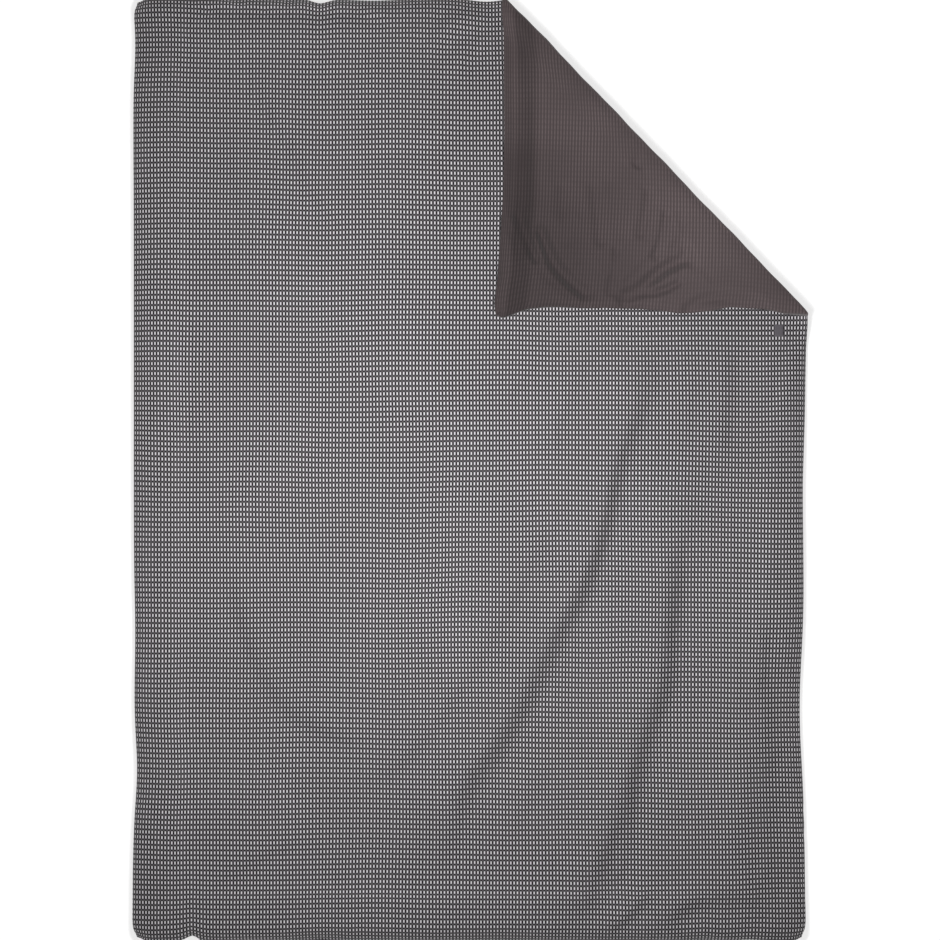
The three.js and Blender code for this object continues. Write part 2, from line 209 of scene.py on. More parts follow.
# pulls in the outline: side, place along it, depth inwards, half width
edgePulls = [
    ("foot", -0.557, 0.013, 0.017),
    ("foot", -0.300, 0.004, 0.050),
    ("foot", 0.060, 0.003, 0.090),
    ("foot", 0.470, 0.004, 0.022),
    ("foot", 0.566, 0.003, 0.045),
    ("left", -0.600, 0.007, 0.090),
    ("left", -0.330, 0.003, 0.120),
    ("left", 0.860, 0.005, 0.080),
    ("right", -0.480, 0.010, 0.150),
    ("right", -0.050, 0.003, 0.160),
    ("head", -0.301, 0.010, 0.022),
    ("head", -0.200, 0.004, 0.070),
    ("head", 0.040, 0.009, 0.050),
]

# soft folds across the face, each falling away on one side of its line, in metres:
# (drop, how sharp, how wide, which side), points
faceFolds = [
    ((0.0094, 0.0155, 0.062, 1), [(0.383, 0.26), (0.36, 0.182), (0.335, 0.098), (0.301, 0.014),
      (0.28, -0.086), (0.238, -0.22), (0.184, -0.321), (0.125, -0.438), (0.078, -0.525), (-0.002, -0.643),
      (-0.04, -0.76), (-0.092, -0.86)]),
    ((0.0028, 0.0095, 0.042, 1), [(0.234, 0.032), (0.184, -0.077), (0.125, -0.186), (0.09, -0.262),
      (0.019, -0.383), (-0.08, -0.53), (-0.16, -0.606), (-0.26, -0.655)]),
    ((0.0032, 0.009, 0.04, 1), [(-0.19, -0.552), (-0.275, -0.535), (-0.367, -0.479), (-0.425, -0.395),
      (-0.459, -0.303), (-0.497, -0.135)]),
    ((0.0125, 0.034, 0.09, 1), [(0.555, -0.3), (0.585, -0.48), (0.58, -0.64), (0.574, -0.78),
      (0.585, -0.93)]),
    ((0.002, 0.01, 0.03, 1), [(0.3, 0.12), (0.262, 0.02), (0.215, -0.1), (0.16, -0.22)]),
    ((0.0022, 0.01, 0.03, 1), [(0.462, 0.23), (0.448, 0.12), (0.42, 0.01)]),
    ((0.0022, 0.007, 0.02, 1), [(0.035, 0.9), (0.0, 0.85), (-0.012, 0.78)]),
    ((0.0026, 0.007, 0.022, 1), [(-0.06, 0.93), (-0.085, 0.885), (-0.13, 0.85)]),
    ((0.0014, 0.01, 0.035, -1), [(-0.495, 0.7), (-0.47, 0.56), (-0.425, 0.42)]),
    ((0.002, 0.01, 0.035, 1), [(0.18, -0.56), (0.12, -0.66), (0.078, -0.78)]),
    ((0.01, 0.018, 0.066, 1), [(0.452, -0.027), (0.419, -0.187), (0.406, -0.303), (0.396, -0.42),
      (0.355, -0.533), (0.329, -0.618), (0.296, -0.718), (0.246, -0.844), (0.18, -0.925)]),
    ((0.003, 0.008, 0.03, 1), [(0.33, -0.6), (0.321, -0.768), (0.271, -0.869)]),
    ((0.004, 0.007, 0.025, 1), [(0.371, -0.831), (0.321, -0.894), (0.271, -0.927)]),
    ((0.0036, 0.01, 0.04, 1), [(0.523, 0.259), (0.519, 0.115), (0.507, 0.02)]),
    ((0.0036, 0.01, 0.035, 1), [(0.167, 0.249), (0.1, 0.174), (0.07, 0.13)]),
    ((0.003, 0.01, 0.035, 1), [(0.247, 0.241), (0.188, 0.099), (0.165, 0.03)]),
    ((0.0016, 0.008, 0.025, 1), [(0.121, 0.091), (0.058, 0.057), (-0.009, 0.023)]),
    ((0.005, 0.011, 0.045, -1), [(-0.455, 0.83), (-0.4, 0.707), (-0.358, 0.639), (-0.325, 0.564),
      (-0.283, 0.514), (-0.225, 0.462)]),
    ((0.0022, 0.009, 0.03, -1), [(-0.275, 0.622), (-0.208, 0.639), (-0.09, 0.657), (-0.023, 0.698),
      (0.06, 0.79)]),
    ((0.0046, 0.009, 0.028, 1), [(0.07, 0.905), (-0.023, 0.883), (-0.095, 0.818)]),
    ((0.003, 0.008, 0.024, 1), [(0.06, 0.868), (0.01, 0.84), (-0.04, 0.79)]),
    ((0.005, 0.006, 0.02, -1), [(-0.23, 0.938), (-0.199, 0.912), (-0.16, 0.896)]),
    ((0.0024, 0.008, 0.025, 1), [(-0.174, 0.824), (-0.182, 0.774), (-0.215, 0.74)]),
    ((-0.0052, 0.005, 0.014, 1), [(-0.59, 0.932), (-0.44, 0.926), (-0.3, 0.924), (-0.215, 0.924)]),
    ((0.004, 0.012, 0.04, -1), [(0.395, -0.925), (0.43, -0.88), (0.513, -0.852), (0.59, -0.872)]),
    ((0.0036, 0.009, 0.026, 1), [(0.585, -0.22), (0.588, -0.35), (0.582, -0.48)]),
    ((0.0022, 0.01, 0.03, -1), [(-0.56, -0.88), (-0.44, -0.79), (-0.33, -0.74)]),
    ((0.0014, 0.012, 0.035, -1), [(-0.56, 0.23), (-0.552, 0.06), (-0.52, -0.08)]),
]

# creases pressed into the folded corner's upper side, in metres: (depth, half width), points
flapFolds = [
    ((0.004, 0.008), [(0.092, 0.52), (0.116, 0.461), (0.136, 0.41)]),
    ((0.0062, 0.0085), [(0.135, 0.492), (0.164, 0.42), (0.199, 0.379), (0.24, 0.346)]),
    ((0.0026, 0.009), [(0.294, 0.45), (0.284, 0.385), (0.279, 0.345)]),
    ((0.0072, 0.0085), [(0.3, 0.342), (0.336, 0.358), (0.384, 0.399), (0.438, 0.425)]),
    ((0.0044, 0.007), [(0.33, 0.35), (0.384, 0.358), (0.424, 0.376)]),
    ((0.0026, 0.009), [(0.366, 0.415), (0.384, 0.475), (0.394, 0.52)]),
    ((0.002, 0.01), [(0.338, 0.455), (0.353, 0.523), (0.358, 0.565)]),
    ((0.0016, 0.01), [(0.245, 0.58), (0.254, 0.509), (0.262, 0.44)]),
    ((0.0014, 0.011), [(0.184, 0.58), (0.187, 0.509), (0.195, 0.44)]),
    ((0.003, 0.012), [(0.42, 0.312), (0.47, 0.34), (0.53, 0.338), (0.6, 0.322)]),
    ((0.0048, 0.026), [(0.13, 0.5), (0.164, 0.42), (0.199, 0.379), (0.25, 0.338)]),
    ((0.0056, 0.028), [(0.29, 0.335), (0.336, 0.362), (0.384, 0.405), (0.45, 0.44)]),
    ((0.003, 0.03), [(0.205, 0.42), (0.26, 0.355), (0.33, 0.33), (0.42, 0.33)]),
    ((0.003, 0.012), [(0.33, 0.6), (0.35, 0.64), (0.362, 0.67)]),
    ((0.0062, 0.02), [(0.08, 0.925), (0.09, 0.82), (0.098, 0.7), (0.1, 0.56), (0.104, 0.4)]),
]


def beyondFold(x, y):
    # how far a place lies past the fold line
    return x * foldNormal[0] + y * foldNormal[1] - foldOffset


def smooth(value):
    t = np.clip(value, 0.0, 1.0)
    return t * t * (3 - 2 * t)


def waves(x, y, size, seed):
    # an even mix of plane waves with fixed headings: gentle unevenness that is the same on every run
    total = np.zeros_like(x)
    for k in range(7):
        heading = seed * 1.7 + k * 2.399
        pitch = size * (0.7 + 0.13 * k)
        turns = (x * math.cos(heading) + y * math.sin(heading)) * 2 * math.pi / pitch
        total += np.sin(turns + seed * 3.1 + k * 1.9)
    return total / 7


def curveThrough(points, steps=10):
    # a smooth line through listed points
    knots = [Vector(p) for p in points]
    knots = [knots[0] * 2 - knots[1]] + knots + [knots[-1] * 2 - knots[-2]]
    line = []
    for k in range(1, len(knots) - 2):
        a, b, c, d = knots[k - 1:k + 3]
        for step in range(steps):
            t = step / steps
            line.append(0.5 * (2 * b + (c - a) * t + (2 * a - 5 * b + 4 * c - d) * t * t
                               + (3 * b - a - 3 * c + d) * t * t * t))
    line.append(knots[-2])
    return np.array([(p.x, p.y) for p in line])


def foldRelief(x, y, folds):
    # height added by folds, which drop from one side of their line to the other, and by creases, which are
    # grooves
    relief = np.zeros_like(x)
    for shape, points in folds:
        line = curveThrough(points)
        nearest = np.full(x.shape, 1e9)
        signed = np.zeros_like(x)
        along = np.zeros_like(x)
        for k in range(len(line) - 1):
            a, b = line[k], line[k + 1]
            d = b - a
            t = ((x - a[0]) * d[0] + (y - a[1]) * d[1]) / (d @ d)
            t = np.clip(t, 0, 1)
            gapX = x - a[0] - t * d[0]
            gapY = y - a[1] - t * d[1]
            distance = np.hypot(gapX, gapY)
            better = distance < nearest
            signed = np.where(better, distance * np.sign(d[0] * gapY - d[1] * gapX), signed)
            along = np.where(better, (k + t) / (len(line) - 1), along)
            nearest = np.minimum(nearest, distance)
        isStep = len(shape) == 4
        ends = 0.2 if isStep else 0.1
        fade = smooth(along / ends) * smooth((1 - along) / ends)
        if isStep:
            drop, sharp, spread, side = shape
            s = signed * side
            sharpHere = sharp * (1.35 - 0.25 * np.sin(along * 9.0 + len(line)))
            step = np.tanh(s / sharpHere) * np.exp(-(s / spread) ** 2)
            relief -= drop * cover["foldStrength"] * step * fade
        else:
            depth, width = shape
            rims = np.exp(-((nearest - 2.0 * width) / width) ** 2)
            groove = np.exp(-(nearest / width) ** 2) - cover["creaseRim"] * rims
            relief -= depth * cover["creaseStrength"] * groove * fade
    return relief


def fineWrinkles(x, y):
    # faint ridges that run down and to the left, strongest below the folded corner
    across = x * 0.88 - y * 0.47
    along = x * 0.47 + y * 0.88
    ridges = waves(across, along * 0.22, 0.048, 11) + 0.7 * waves(across, along * 0.3, 0.085, 13)
    strength = 0.45 + 0.55 * smooth((x + 0.35) / 0.6) * smooth((0.5 - y) / 0.6)
    return cover["wrinkles"] * ridges * strength


def rollTable(reach, startDegrees):
    # along the filled edge, from the seam: distance through the cloth, distance in from the outline, share of
    # the full height
    angles = np.radians(np.linspace(-startDegrees, 90, 60))
    inward = reach * (1 - np.cos(angles) ** cover["pillow"])
    rise = np.sin(angles)
    up = cover["edgeRise"] * rise
    length = np.concatenate([[0], np.cumsum(np.hypot(np.diff(inward), np.diff(up)))])
    share = (rise - rise[0]) / (1 - rise[0])
    return length, inward, share


def crossSection(material, total, lowSide, highSide, half):
    # lays the cloth's own coordinate across the duvet: where it lies, and how near the full height it is
    place = np.zeros_like(material)
    share = np.ones_like(material)
    for fromEdge, side, sign in ((material, lowSide, -1), (total - material, highSide, 1)):
        length, inward, rise = rollTable(*faceRoll[side])
        near = fromEdge <= total / 2
        flatPart = inward[-1] + (fromEdge - length[-1])
        reachIn = np.where(fromEdge < length[-1], np.interp(fromEdge, length, inward), flatPart)
        place = np.where(near, sign * (half - reachIn), place)
        share = np.where(near, np.interp(fromEdge, length, rise), share)
    return place, share


def clothTotal(lowSide, highSide, half):
    total = 2 * half
    for side in (lowSide, highSide):
        length, inward, _ = rollTable(*faceRoll[side])
        total += length[-1] - inward[-1]
    return total


def reverseSection(material, total, lowSide, highSide):
    # the reverse panel's section, from the same seam down to the flat underside
    share = np.ones_like(material)
    for fromEdge, side in ((material, lowSide), (total - material, highSide)):
        share *= np.sqrt(np.clip(1 - (1 - np.clip(fromEdge / reverseRoll[side], 0, 1)) ** 2, 0, 1))
    return share


def flatBag():
    # both panels as grids sharing their seam, lying flat, before the corner is folded
    totalX = clothTotal("left", "right", halfWidth)
    totalY = clothTotal("foot", "head", halfLength)
    countX = round(totalX / cover["cell"])
    countY = round(totalY / cover["cell"])
    mx, my = np.meshgrid(np.linspace(0, totalX, countX + 1), np.linspace(0, totalY, countY + 1))
    x, riseX = crossSection(mx, totalX, "left", "right", halfWidth)
    y, riseY = crossSection(my, totalY, "foot", "head", halfLength)
    pressed = smooth(np.maximum(flapLow.x - x, flapLow.y - y) / cover["bearing"])
    height = lyingTop + (cover["restHeight"] - lyingTop) * pressed + 0.0014 * pressed * waves(x, y, 0.36, 2)
    atZip = smooth((0.60 - np.abs(x)) / 0.04) * smooth((-y - 0.90) / 0.03)
    seam = cover["seamHeight"] + 0.0018 * waves(x, y, 0.23, 5)
    seam = seam + (cover["zipHeight"] - seam) * atZip
    faceZ = seam + (height - seam) * riseX * riseY
    flatten = reverseSection(mx, totalX, "left", "right") * reverseSection(my, totalY, "foot", "head")
    reverseZ = seam * (1 - flatten)
    face = np.stack([x, y, faceZ], axis=-1)
    reverse = np.stack([x, y, reverseZ], axis=-1)
    return face, reverse, mx, my, riseX * riseY, flatten


def settleCloth(face, reverse):
    # a short cloth simulation: the cut is a little larger than the filling, so its edges gather
    rows, columns = face.shape[:2]
    faceIndex = np.arange(rows * columns).reshape(rows, columns)
    inner = np.zeros((rows, columns), bool)
    inner[1:-1, 1:-1] = True
    reverseIndex = faceIndex.copy()
    reverseIndex[inner] = rows * columns + np.arange(inner.sum())
    start = np.concatenate([face.reshape(-1, 3), reverse[inner]])
    quads = []
    for index, order in ((faceIndex, (0, 1, 2, 3)), (reverseIndex, (3, 2, 1, 0))):
        quads += quadsOf(index)[:, order].tolist()
    mesh = bpy.data.meshes.new("settling")
    mesh.from_pydata(start.tolist(), [], quads)
    bag = bpy.data.objects.new("settling", mesh)
    scene.collection.objects.link(bag)
    inward = np.minimum(halfWidth - np.abs(start[:, 0]), halfLength - np.abs(start[:, 1]))
    hold = smooth((inward - 0.05) / 0.12) * 0.7
    hold[rows * columns:] = smooth((inward[rows * columns:] - 0.02) / 0.04)
    nearFold = np.abs(beyondFold(start[:, 0], start[:, 1]))
    hold = np.maximum(hold, 1 - smooth((nearFold - 0.02) / 0.05))
    group = bag.vertex_groups.new(name="held")
    for level in range(21):
        picked = np.where(np.round(hold * 20) == level)[0].tolist()
        if picked:
            group.add(picked, level / 20, "REPLACE")
    bag.shape_key_add(name="Basis")
    loose = bag.shape_key_add(name="loose")
    loose.data.foreach_set("co", (start * np.array(cover["clothExcess"])).ravel())
    cloth = bag.modifiers.new("settle", "CLOTH")
    for name, value in clothSettings.items():
        setattr(cloth.settings, name, value)
    cloth.settings.vertex_group_mass = "held"
    cloth.settings.rest_shape_key = loose
    cloth.settings.effector_weights.gravity = 0
    cloth.collision_settings.use_collision = False
    cloth.point_cache.frame_start = 1
    cloth.point_cache.frame_end = cover["simFrames"]
    for frameNumber in range(1, cover["simFrames"] + 1):
        scene.frame_set(frameNumber)
    settled = np.empty(len(start) * 3)
    bag.evaluated_get(bpy.context.evaluated_depsgraph_get()).data.vertices.foreach_get("co", settled)
    scene.frame_set(1)
    bpy.data.objects.remove(bag)
    moved = settled.reshape(-1, 3) - start
    reach = np.linalg.norm(moved, axis=1, keepdims=True)
    moved *= np.minimum(1, cover["simReach"] / np.maximum(reach, 1e-9))
    print("cloth settled: moved up to", round(float(reach.max()) * 1000, 1), "mm")
    settled = start + moved
    settled[:, 2] = np.maximum(settled[:, 2], 0)
    return settled[faceIndex], settled[reverseIndex]


def pullEdges(points):
    x, y = points[..., 0].copy(), points[..., 1].copy()
    for side, place, depth, halfSpan in edgePulls:
        across, along = (0, y) if side in ("left", "right") else (1, x)
        sign = 1 if side in ("right", "head") else -1
        inward = (halfWidth, halfLength)[across] - sign * (x, y)[across]
        sideways = np.exp(-((along - place) / halfSpan) ** 2)
        amount = depth * sideways * np.exp(-inward / (halfSpan + 0.02))
        points[..., across] -= sign * amount
    # the four corners are drawn in and rounded
    for signX in (-1, 1):
        for signY in (-1, 1):
            reach = np.hypot(x - signX * halfWidth, y - signY * halfLength)
            pull = cover["cornerPull"] * np.exp(-(reach / 0.022) ** 2)
            points[..., 0] -= signX * pull
            points[..., 1] -= signY * pull
    return points


def puckers(x, y, rise):
    # short gathers running in from the seam
    inX = halfWidth - np.abs(x)
    inY = halfLength - np.abs(y)
    alongSide = waves(y, np.sign(x), 0.052, 3) * (0.5 + 0.8 * waves(y, np.sign(x), 0.6, 8))
    alongEnd = waves(x, np.sign(y), 0.047, 6) * (0.5 + 0.8 * waves(x, np.sign(y), 0.5, 4))
    gathers = alongSide * np.exp(-inX / 0.040) + alongEnd * np.exp(-inY / 0.045)
    return cover["puckerDepth"] * gathers * rise


def doubled(grid):
    # one cubic halving of the grid's spacing, both ways
    for axis in (0, 1):
        g = np.moveaxis(grid, axis, 0)
        before = np.concatenate([2 * g[:1] - g[1:2], g, 2 * g[-1:] - g[-2:-1]])
        middle = (-before[:-3] + 9 * before[1:-2] + 9 * before[2:-1] - before[3:]) / 16
        out = np.empty((2 * len(g) - 1,) + g.shape[1:])
        out[0::2] = g
        out[1::2] = middle
        grid = np.moveaxis(out, 0, axis)
    return grid


def openFoot(panel, material, lip, outwards):
    # the panels part along the zip, each ending in a lip just outside it
    x = panel[..., 0]
    near = np.exp(-(material / 0.013) ** 2) * smooth((cover["zipHalf"] + 0.014 - np.abs(x)) / 0.012)
    panel[..., 2] += (lip - panel[..., 2]) * near
    panel[..., 1] += (-outwards - panel[..., 1]) * near


def shapeCover():
    face, reverse, mx, my, rise, flatten = flatBag()
    face[..., 2] += puckers(face[..., 0], face[..., 1], rise)
    face, reverse = settleCloth(face, reverse)
    face, reverse = pullEdges(face), pullEdges(reverse)
    face, reverse = doubled(face), doubled(reverse)
    mx, my = doubled(mx[..., None])[..., 0], doubled(my[..., None])[..., 0]
    rise, flatten = doubled(rise[..., None])[..., 0], doubled(flatten[..., None])[..., 0]
    x, y = face[..., 0], face[..., 1]
    clear = smooth((np.maximum(flapLow.x - x, flapLow.y - y) + 0.01) / 0.03)
    face[..., 2] += (foldRelief(x, y, faceFolds) + fineWrinkles(x, y)) * clear * rise
    under = 1 - clear
    pressed = np.minimum(face[..., 2], lyingTop + 0.012 * (1 - under))
    face[..., 2] = np.where(under > 0, pressed, face[..., 2])
    # along the fold line the face meets the hinge line, and the seam climbs to it
    closeness = 1 - smooth(np.abs(beyondFold(x, y)) / 0.05)
    face[..., 2] += (hingeHeight - face[..., 2]) * closeness
    fromFold = np.abs(beyondFold(reverse[..., 0], reverse[..., 1]))
    closeness = 1 - smooth(fromFold / 0.05)
    t = np.clip(fromFold / cover["foldRound"], 0, 1)
    reverse[..., 2] += cover["foldLift"] * (1 - np.sqrt(1 - (1 - t) ** 2)) * flatten
    reverse[..., 2] += (hingeHeight - reverse[..., 2]) * closeness * (1 - flatten)
    reverse[..., 2] = np.maximum(reverse[..., 2], 0)
    half = cover["zipGap"] / 2
    openFoot(face, my, cover["zipHeight"] + half, cover["lipDepth"])
    openFoot(reverse, my, cover["zipHeight"] - half, cover["lipDepth"])
    print("cover laid out:", face.shape[0], "by", face.shape[1], "points a panel")
    return face, reverse, mx, my


uvSize = (1.5, 2.1)          # metres of cloth that the bake map spans


def quadsOf(index):
    # the four-sided faces between neighbouring points of a grid of point numbers
    corners = np.stack([index[:-1, :-1], index[:-1, 1:], index[1:, 1:], index[1:, :-1]], axis=-1)
    return corners.reshape(-1, 4)


def gridMesh(name, points, mx, my, flip):
    rows, columns = points.shape[:2]
    quads = quadsOf(np.arange(rows * columns).reshape(rows, columns))
    if flip:
        quads = quads[:, ::-1]
    mesh = bpy.data.meshes.new(name)
    mesh.from_pydata(points.reshape(-1, 3).tolist(), [], quads.tolist())
    layer = mesh.uv_layers.new(name="OFBake")
    corners = np.empty(len(mesh.loops), int)
    mesh.loops.foreach_get("vertex_index", corners)
    uv = np.stack([mx.ravel()[corners] / uvSize[0], my.ravel()[corners] / uvSize[1]], axis=-1)
    layer.data.foreach_set("uv", uv.ravel())
    mesh.update()
    return mesh


def trimAtFold(bm, keepCorner, gap=0.0):
    # keeps one side of the fold line, up to a gap from it
    away = gap if keepCorner else -gap
    place = (foldPoint.x + away * foldNormal[0], foldPoint.y + away * foldNormal[1], 0)
    bmesh.ops.bisect_plane(bm, geom=bm.verts[:] + bm.edges[:] + bm.faces[:], dist=1e-6, plane_co=place,
                           plane_no=(foldNormal[0], foldNormal[1], 0), clear_inner=keepCorner,
                           clear_outer=not keepCorner)


def cutAtFold(mesh, keepCorner):
    bm = bmesh.new()
    bm.from_mesh(mesh)
    trimAtFold(bm, keepCorner)
    return bm


def foldOver(co):
    # half a turn about the fold line
    beyond = beyondFold(co.x, co.y)
    return Vector((co.x - 2 * beyond * foldNormal[0], co.y - 2 * beyond * foldNormal[1],
                   2 * hingeHeight - co.z))


# how far the folded corner's edges lie in from a straight fold-over: place along the edge, distance
flapOutline = {
    "left": [(0.31, -0.010), (0.345, 0.005), (0.40, 0.0140), (0.545, 0.020), (0.667, 0.0194),
             (0.85, 0.0133), (0.95, 0.010)],
    "bottom": [(0.045, -0.054), (0.060, -0.047), (0.085, -0.030), (0.115, -0.014), (0.15, -0.009),
               (0.22, -0.009), (0.339, -0.005), (0.384, -0.007), (0.416, -0.012), (0.45, -0.008),
               (0.483, -0.002), (0.517, 0.0085), (0.584, 0.0085), (0.63, 0.002), (0.68, 0.0)],
}


def shapeFlap(co):
    # draws the folded corner's outline in, and eases off towards the fold line
    ease = float(smooth(-beyondFold(co.x, co.y) / 0.06))
    shifts = []
    for edge, along, inward, reach in (("left", co.y, co.x - flapLow.x, 0.16),
                                       ("bottom", co.x, co.y - flapLow.y, 0.07)):
        places, depths = zip(*flapOutline[edge])
        shifts.append(float(np.interp(along, places, depths)) * math.exp(-max(inward, 0) / reach))
    return Vector((co.x + shifts[0] * ease, co.y + shifts[1] * ease, co.z))


def makePiece(mesh, name, material):
    for polygon in mesh.polygons:
        polygon.use_smooth = True
    mesh.materials.append(material)
    piece = bpy.data.objects.new(name, mesh)
    scene.collection.objects.link(piece)
    return piece


def finishMesh(bm, name, material):
    mesh = bpy.data.meshes.new(name)
    bmesh.ops.remove_doubles(bm, verts=bm.verts, dist=1e-6)
    bm.to_mesh(mesh)
    bm.free()
    return makePiece(mesh, name, material)


def standsFor(piece, node, body="main"):
    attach(piece, body)
    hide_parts(node)


def onFoldLine(vert):
    return abs(beyondFold(vert.co.x, vert.co.y)) < 2e-6


def setOnHinge(bm):
    # the cut edge of the face panel lies exactly on the hinge line
    for v in bm.verts:
        if onFoldLine(v):
            v.co.z = hingeHeight


def foldStrip(bm, steps):
    # carries the reverse panel from its cut edge round the outside of the fold to the folded corner
    uvLayer = bm.loops.layers.uv["OFBake"]
    cut = [e for e in bm.edges if e.is_boundary and all(onFoldLine(v) for v in e.verts)]
    uvAt = {}
    for edge in cut:
        for loop in edge.link_loops:
            for corner in (loop, loop.link_loop_next):
                uvAt[corner.vert] = corner[uvLayer].uv.copy()
    ringOf = {}
    low, high = cover["foldBulge"]
    for v in uvAt:
        along = np.clip((v.co.y - flapLow.y) / (halfLength - flapLow.y), 0, 1)
        room = (hingeHeight - v.co.z) / hingeHeight
        uneven = 1 + 0.10 * math.sin(along * 31) + 0.06 * math.sin(along * 83)
        bulge = (low + (high - low) * along) * uneven * room
        ring = []
        for step in range(steps + 1):
            angle = math.pi * step / steps
            out = bulge * math.sin(angle) ** 0.8 if 0 < step < steps else 0.0
            z = hingeHeight - (hingeHeight - v.co.z) * math.cos(angle)
            ring.append(Vector((v.co.x + out * foldNormal[0], v.co.y + out * foldNormal[1], z)))
        ringOf[v] = ring
    return cut, uvAt, ringOf


def flapRelief(x, y):
    relief = foldRelief(x, y, flapFolds) - cover["flapSink"] + 0.0008 * waves(x, y, 0.16, 9)
    limit = cover["creaseLimit"]
    return -limit * np.tanh(-np.minimum(relief, 0) / limit) * smooth(-beyondFold(x, y) / 0.05)


def buildReverseCorner(flatMesh, material, foldLength=0.085, steps=14):
    bm = cutAtFold(flatMesh, True)
    uvLayer = bm.loops.layers.uv["OFBake"]
    cut, uvAt, ringOf = foldStrip(bm, steps)
    for v in bm.verts:
        v.co = foldOver(v.co)
    for face in bm.faces:
        for loop in face.loops:
            loop[uvLayer].uv[0] += foldLength * foldNormal[0] / uvSize[0]
            loop[uvLayer].uv[1] += foldLength * foldNormal[1] / uvSize[1]
    rings = {}
    for v, ring in ringOf.items():
        rings[v] = [bm.verts.new(p) for p in ring[:-1]] + [v]
    for edge in cut:
        loop = edge.link_loops[0]
        first, second = loop.vert, loop.link_loop_next.vert
        for step in range(steps):
            near, far = rings[first], rings[second]
            corners = (near[step], far[step], far[step + 1], near[step + 1])
            if len(set(corners)) < 4:
                continue
            face = bm.faces.new(corners)
            face.smooth = True
            shares = (step, step, step + 1, step + 1)
            owners = (first, second, second, first)
            for faceLoop, share, owner in zip(face.loops, shares, owners):
                shift = foldLength * share / steps
                faceLoop[uvLayer].uv = (uvAt[owner][0] + shift * foldNormal[0] / uvSize[0],
                                        uvAt[owner][1] + shift * foldNormal[1] / uvSize[1])
    bmesh.ops.recalc_face_normals(bm, faces=bm.faces)
    bmesh.ops.subdivide_edges(bm, edges=bm.edges[:], cuts=1, use_grid_fill=True)
    for v in bm.verts:
        v.co = shapeFlap(v.co)
    xs = np.array([v.co.x for v in bm.verts])
    ys = np.array([v.co.y for v in bm.verts])
    for v, lift in zip(bm.verts, flapRelief(xs, ys)):
        upper = smooth((v.co.z - hingeHeight * 1.62) / (hingeHeight * 0.2))
        v.co.z = min(v.co.z + lift * float(upper), 2 * hingeHeight)
    return finishMesh(bm, "coverReverseCorner", material)


# woven cotton for the cover
weave = {
    "drift": (1.5, 1.3),            # how far the rows wander, in repeats
    "repeat": (0.00667, 0.01010),   # m, one light float and its ground
    "float": (0.215, 0.290),        # half its size, as a share of the repeat
    "ribRepeat": (0.01010, 0.00667),   # the reverse's ribs run across the duvet
    "ribFloat": (0.300, 0.240),
    "light": "e4e0e4",
    "ground": "5a575a",
    "shade": "121012",
    "facing": 0.26,                 # how much darker the painted shade band along the head end is
    "facingInner": (0.064, 0.040),  # where it fades in and out, from the head seam
    "facingOuter": (0.004, 0.014),
    "dyeCentre": (1.43, 1.98, 0),   # where the painted shade over the folded corner is darkest
    "dyeReach": (0.12, 0.46),
    "dyeTone": (0.80, 1.42),
    "lightShade": "a8a3a7",
    "reverse": "453d3e",
    "reverseFloat": "625758",
}


def weaveMask(tree, uv, repeat, floatHalf):
    # splits the cloth into its repeats: returns how far a point is inside a float, across and along
    counts = (uvSize[0] / repeat[0], uvSize[1] / repeat[1], 1)
    repeats = addNode(tree, "VectorMath", {0: uv, 1: counts}, operation="MULTIPLY")
    wobble = addNode(tree, "TexNoise", {"Vector": uv, "Scale": 5.0, "Detail": 1.0})
    centred = addNode(tree, "VectorMath", {0: wobble.outputs["Color"], 1: (0.5, 0.5, 0.5)},
                      operation="SUBTRACT")
    shifted = addNode(tree, "VectorMath", {0: centred, 1: weave["drift"] + (0,), 2: repeats},
                      operation="MULTIPLY_ADD")
    split = addNode(tree, "SeparateXYZ", {0: shifted})
    masks = []
    for axis, half, soft in ((0, floatHalf[0], 0.10), (1, floatHalf[1], 0.07)):
        part = addNode(tree, "Math", {0: split.outputs[axis]}, operation="FRACT")
        away = addNode(tree, "Math", {0: part, 1: 0.5}, operation="SUBTRACT")
        size = addNode(tree, "Math", {0: away}, operation="ABSOLUTE")
        mask = addNode(tree, "MapRange", {"Value": size, "From Min": half + soft,
                       "From Max": half - soft}, interpolation_type="SMOOTHSTEP")
        masks.append(mask)
    return masks


def clothSurface(tree, colour, height, roughness, sheen, bumpDistance, uv):
    # spun cotton: matte, with a soft fuzz at grazing angles
    thread = addNode(tree, "TexNoise", {"Vector": uv, "Scale": 900.0, "Detail": 2.0})
    mixed = addNode(tree, "Math", {0: thread, 1: 0.35, 2: height}, operation="MULTIPLY_ADD")
    bump = addNode(tree, "Bump", {"Height": mixed, "Distance": bumpDistance, "Strength": 0.6})
    rough = addNode(tree, "MapRange", {"Value": thread, "To Min": roughness - 0.05,
                    "To Max": roughness + 0.07})
    surface = addNode(tree, "BsdfPrincipled", {"Base Color": colour, "Roughness": rough,
                      "Normal": bump, "Sheen Weight": sheen, "Sheen Roughness": 0.5,
                      "Specular IOR Level": 0.25, "IOR": 1.45})
    addNode(tree, "OutputMaterial", {"Surface": surface})


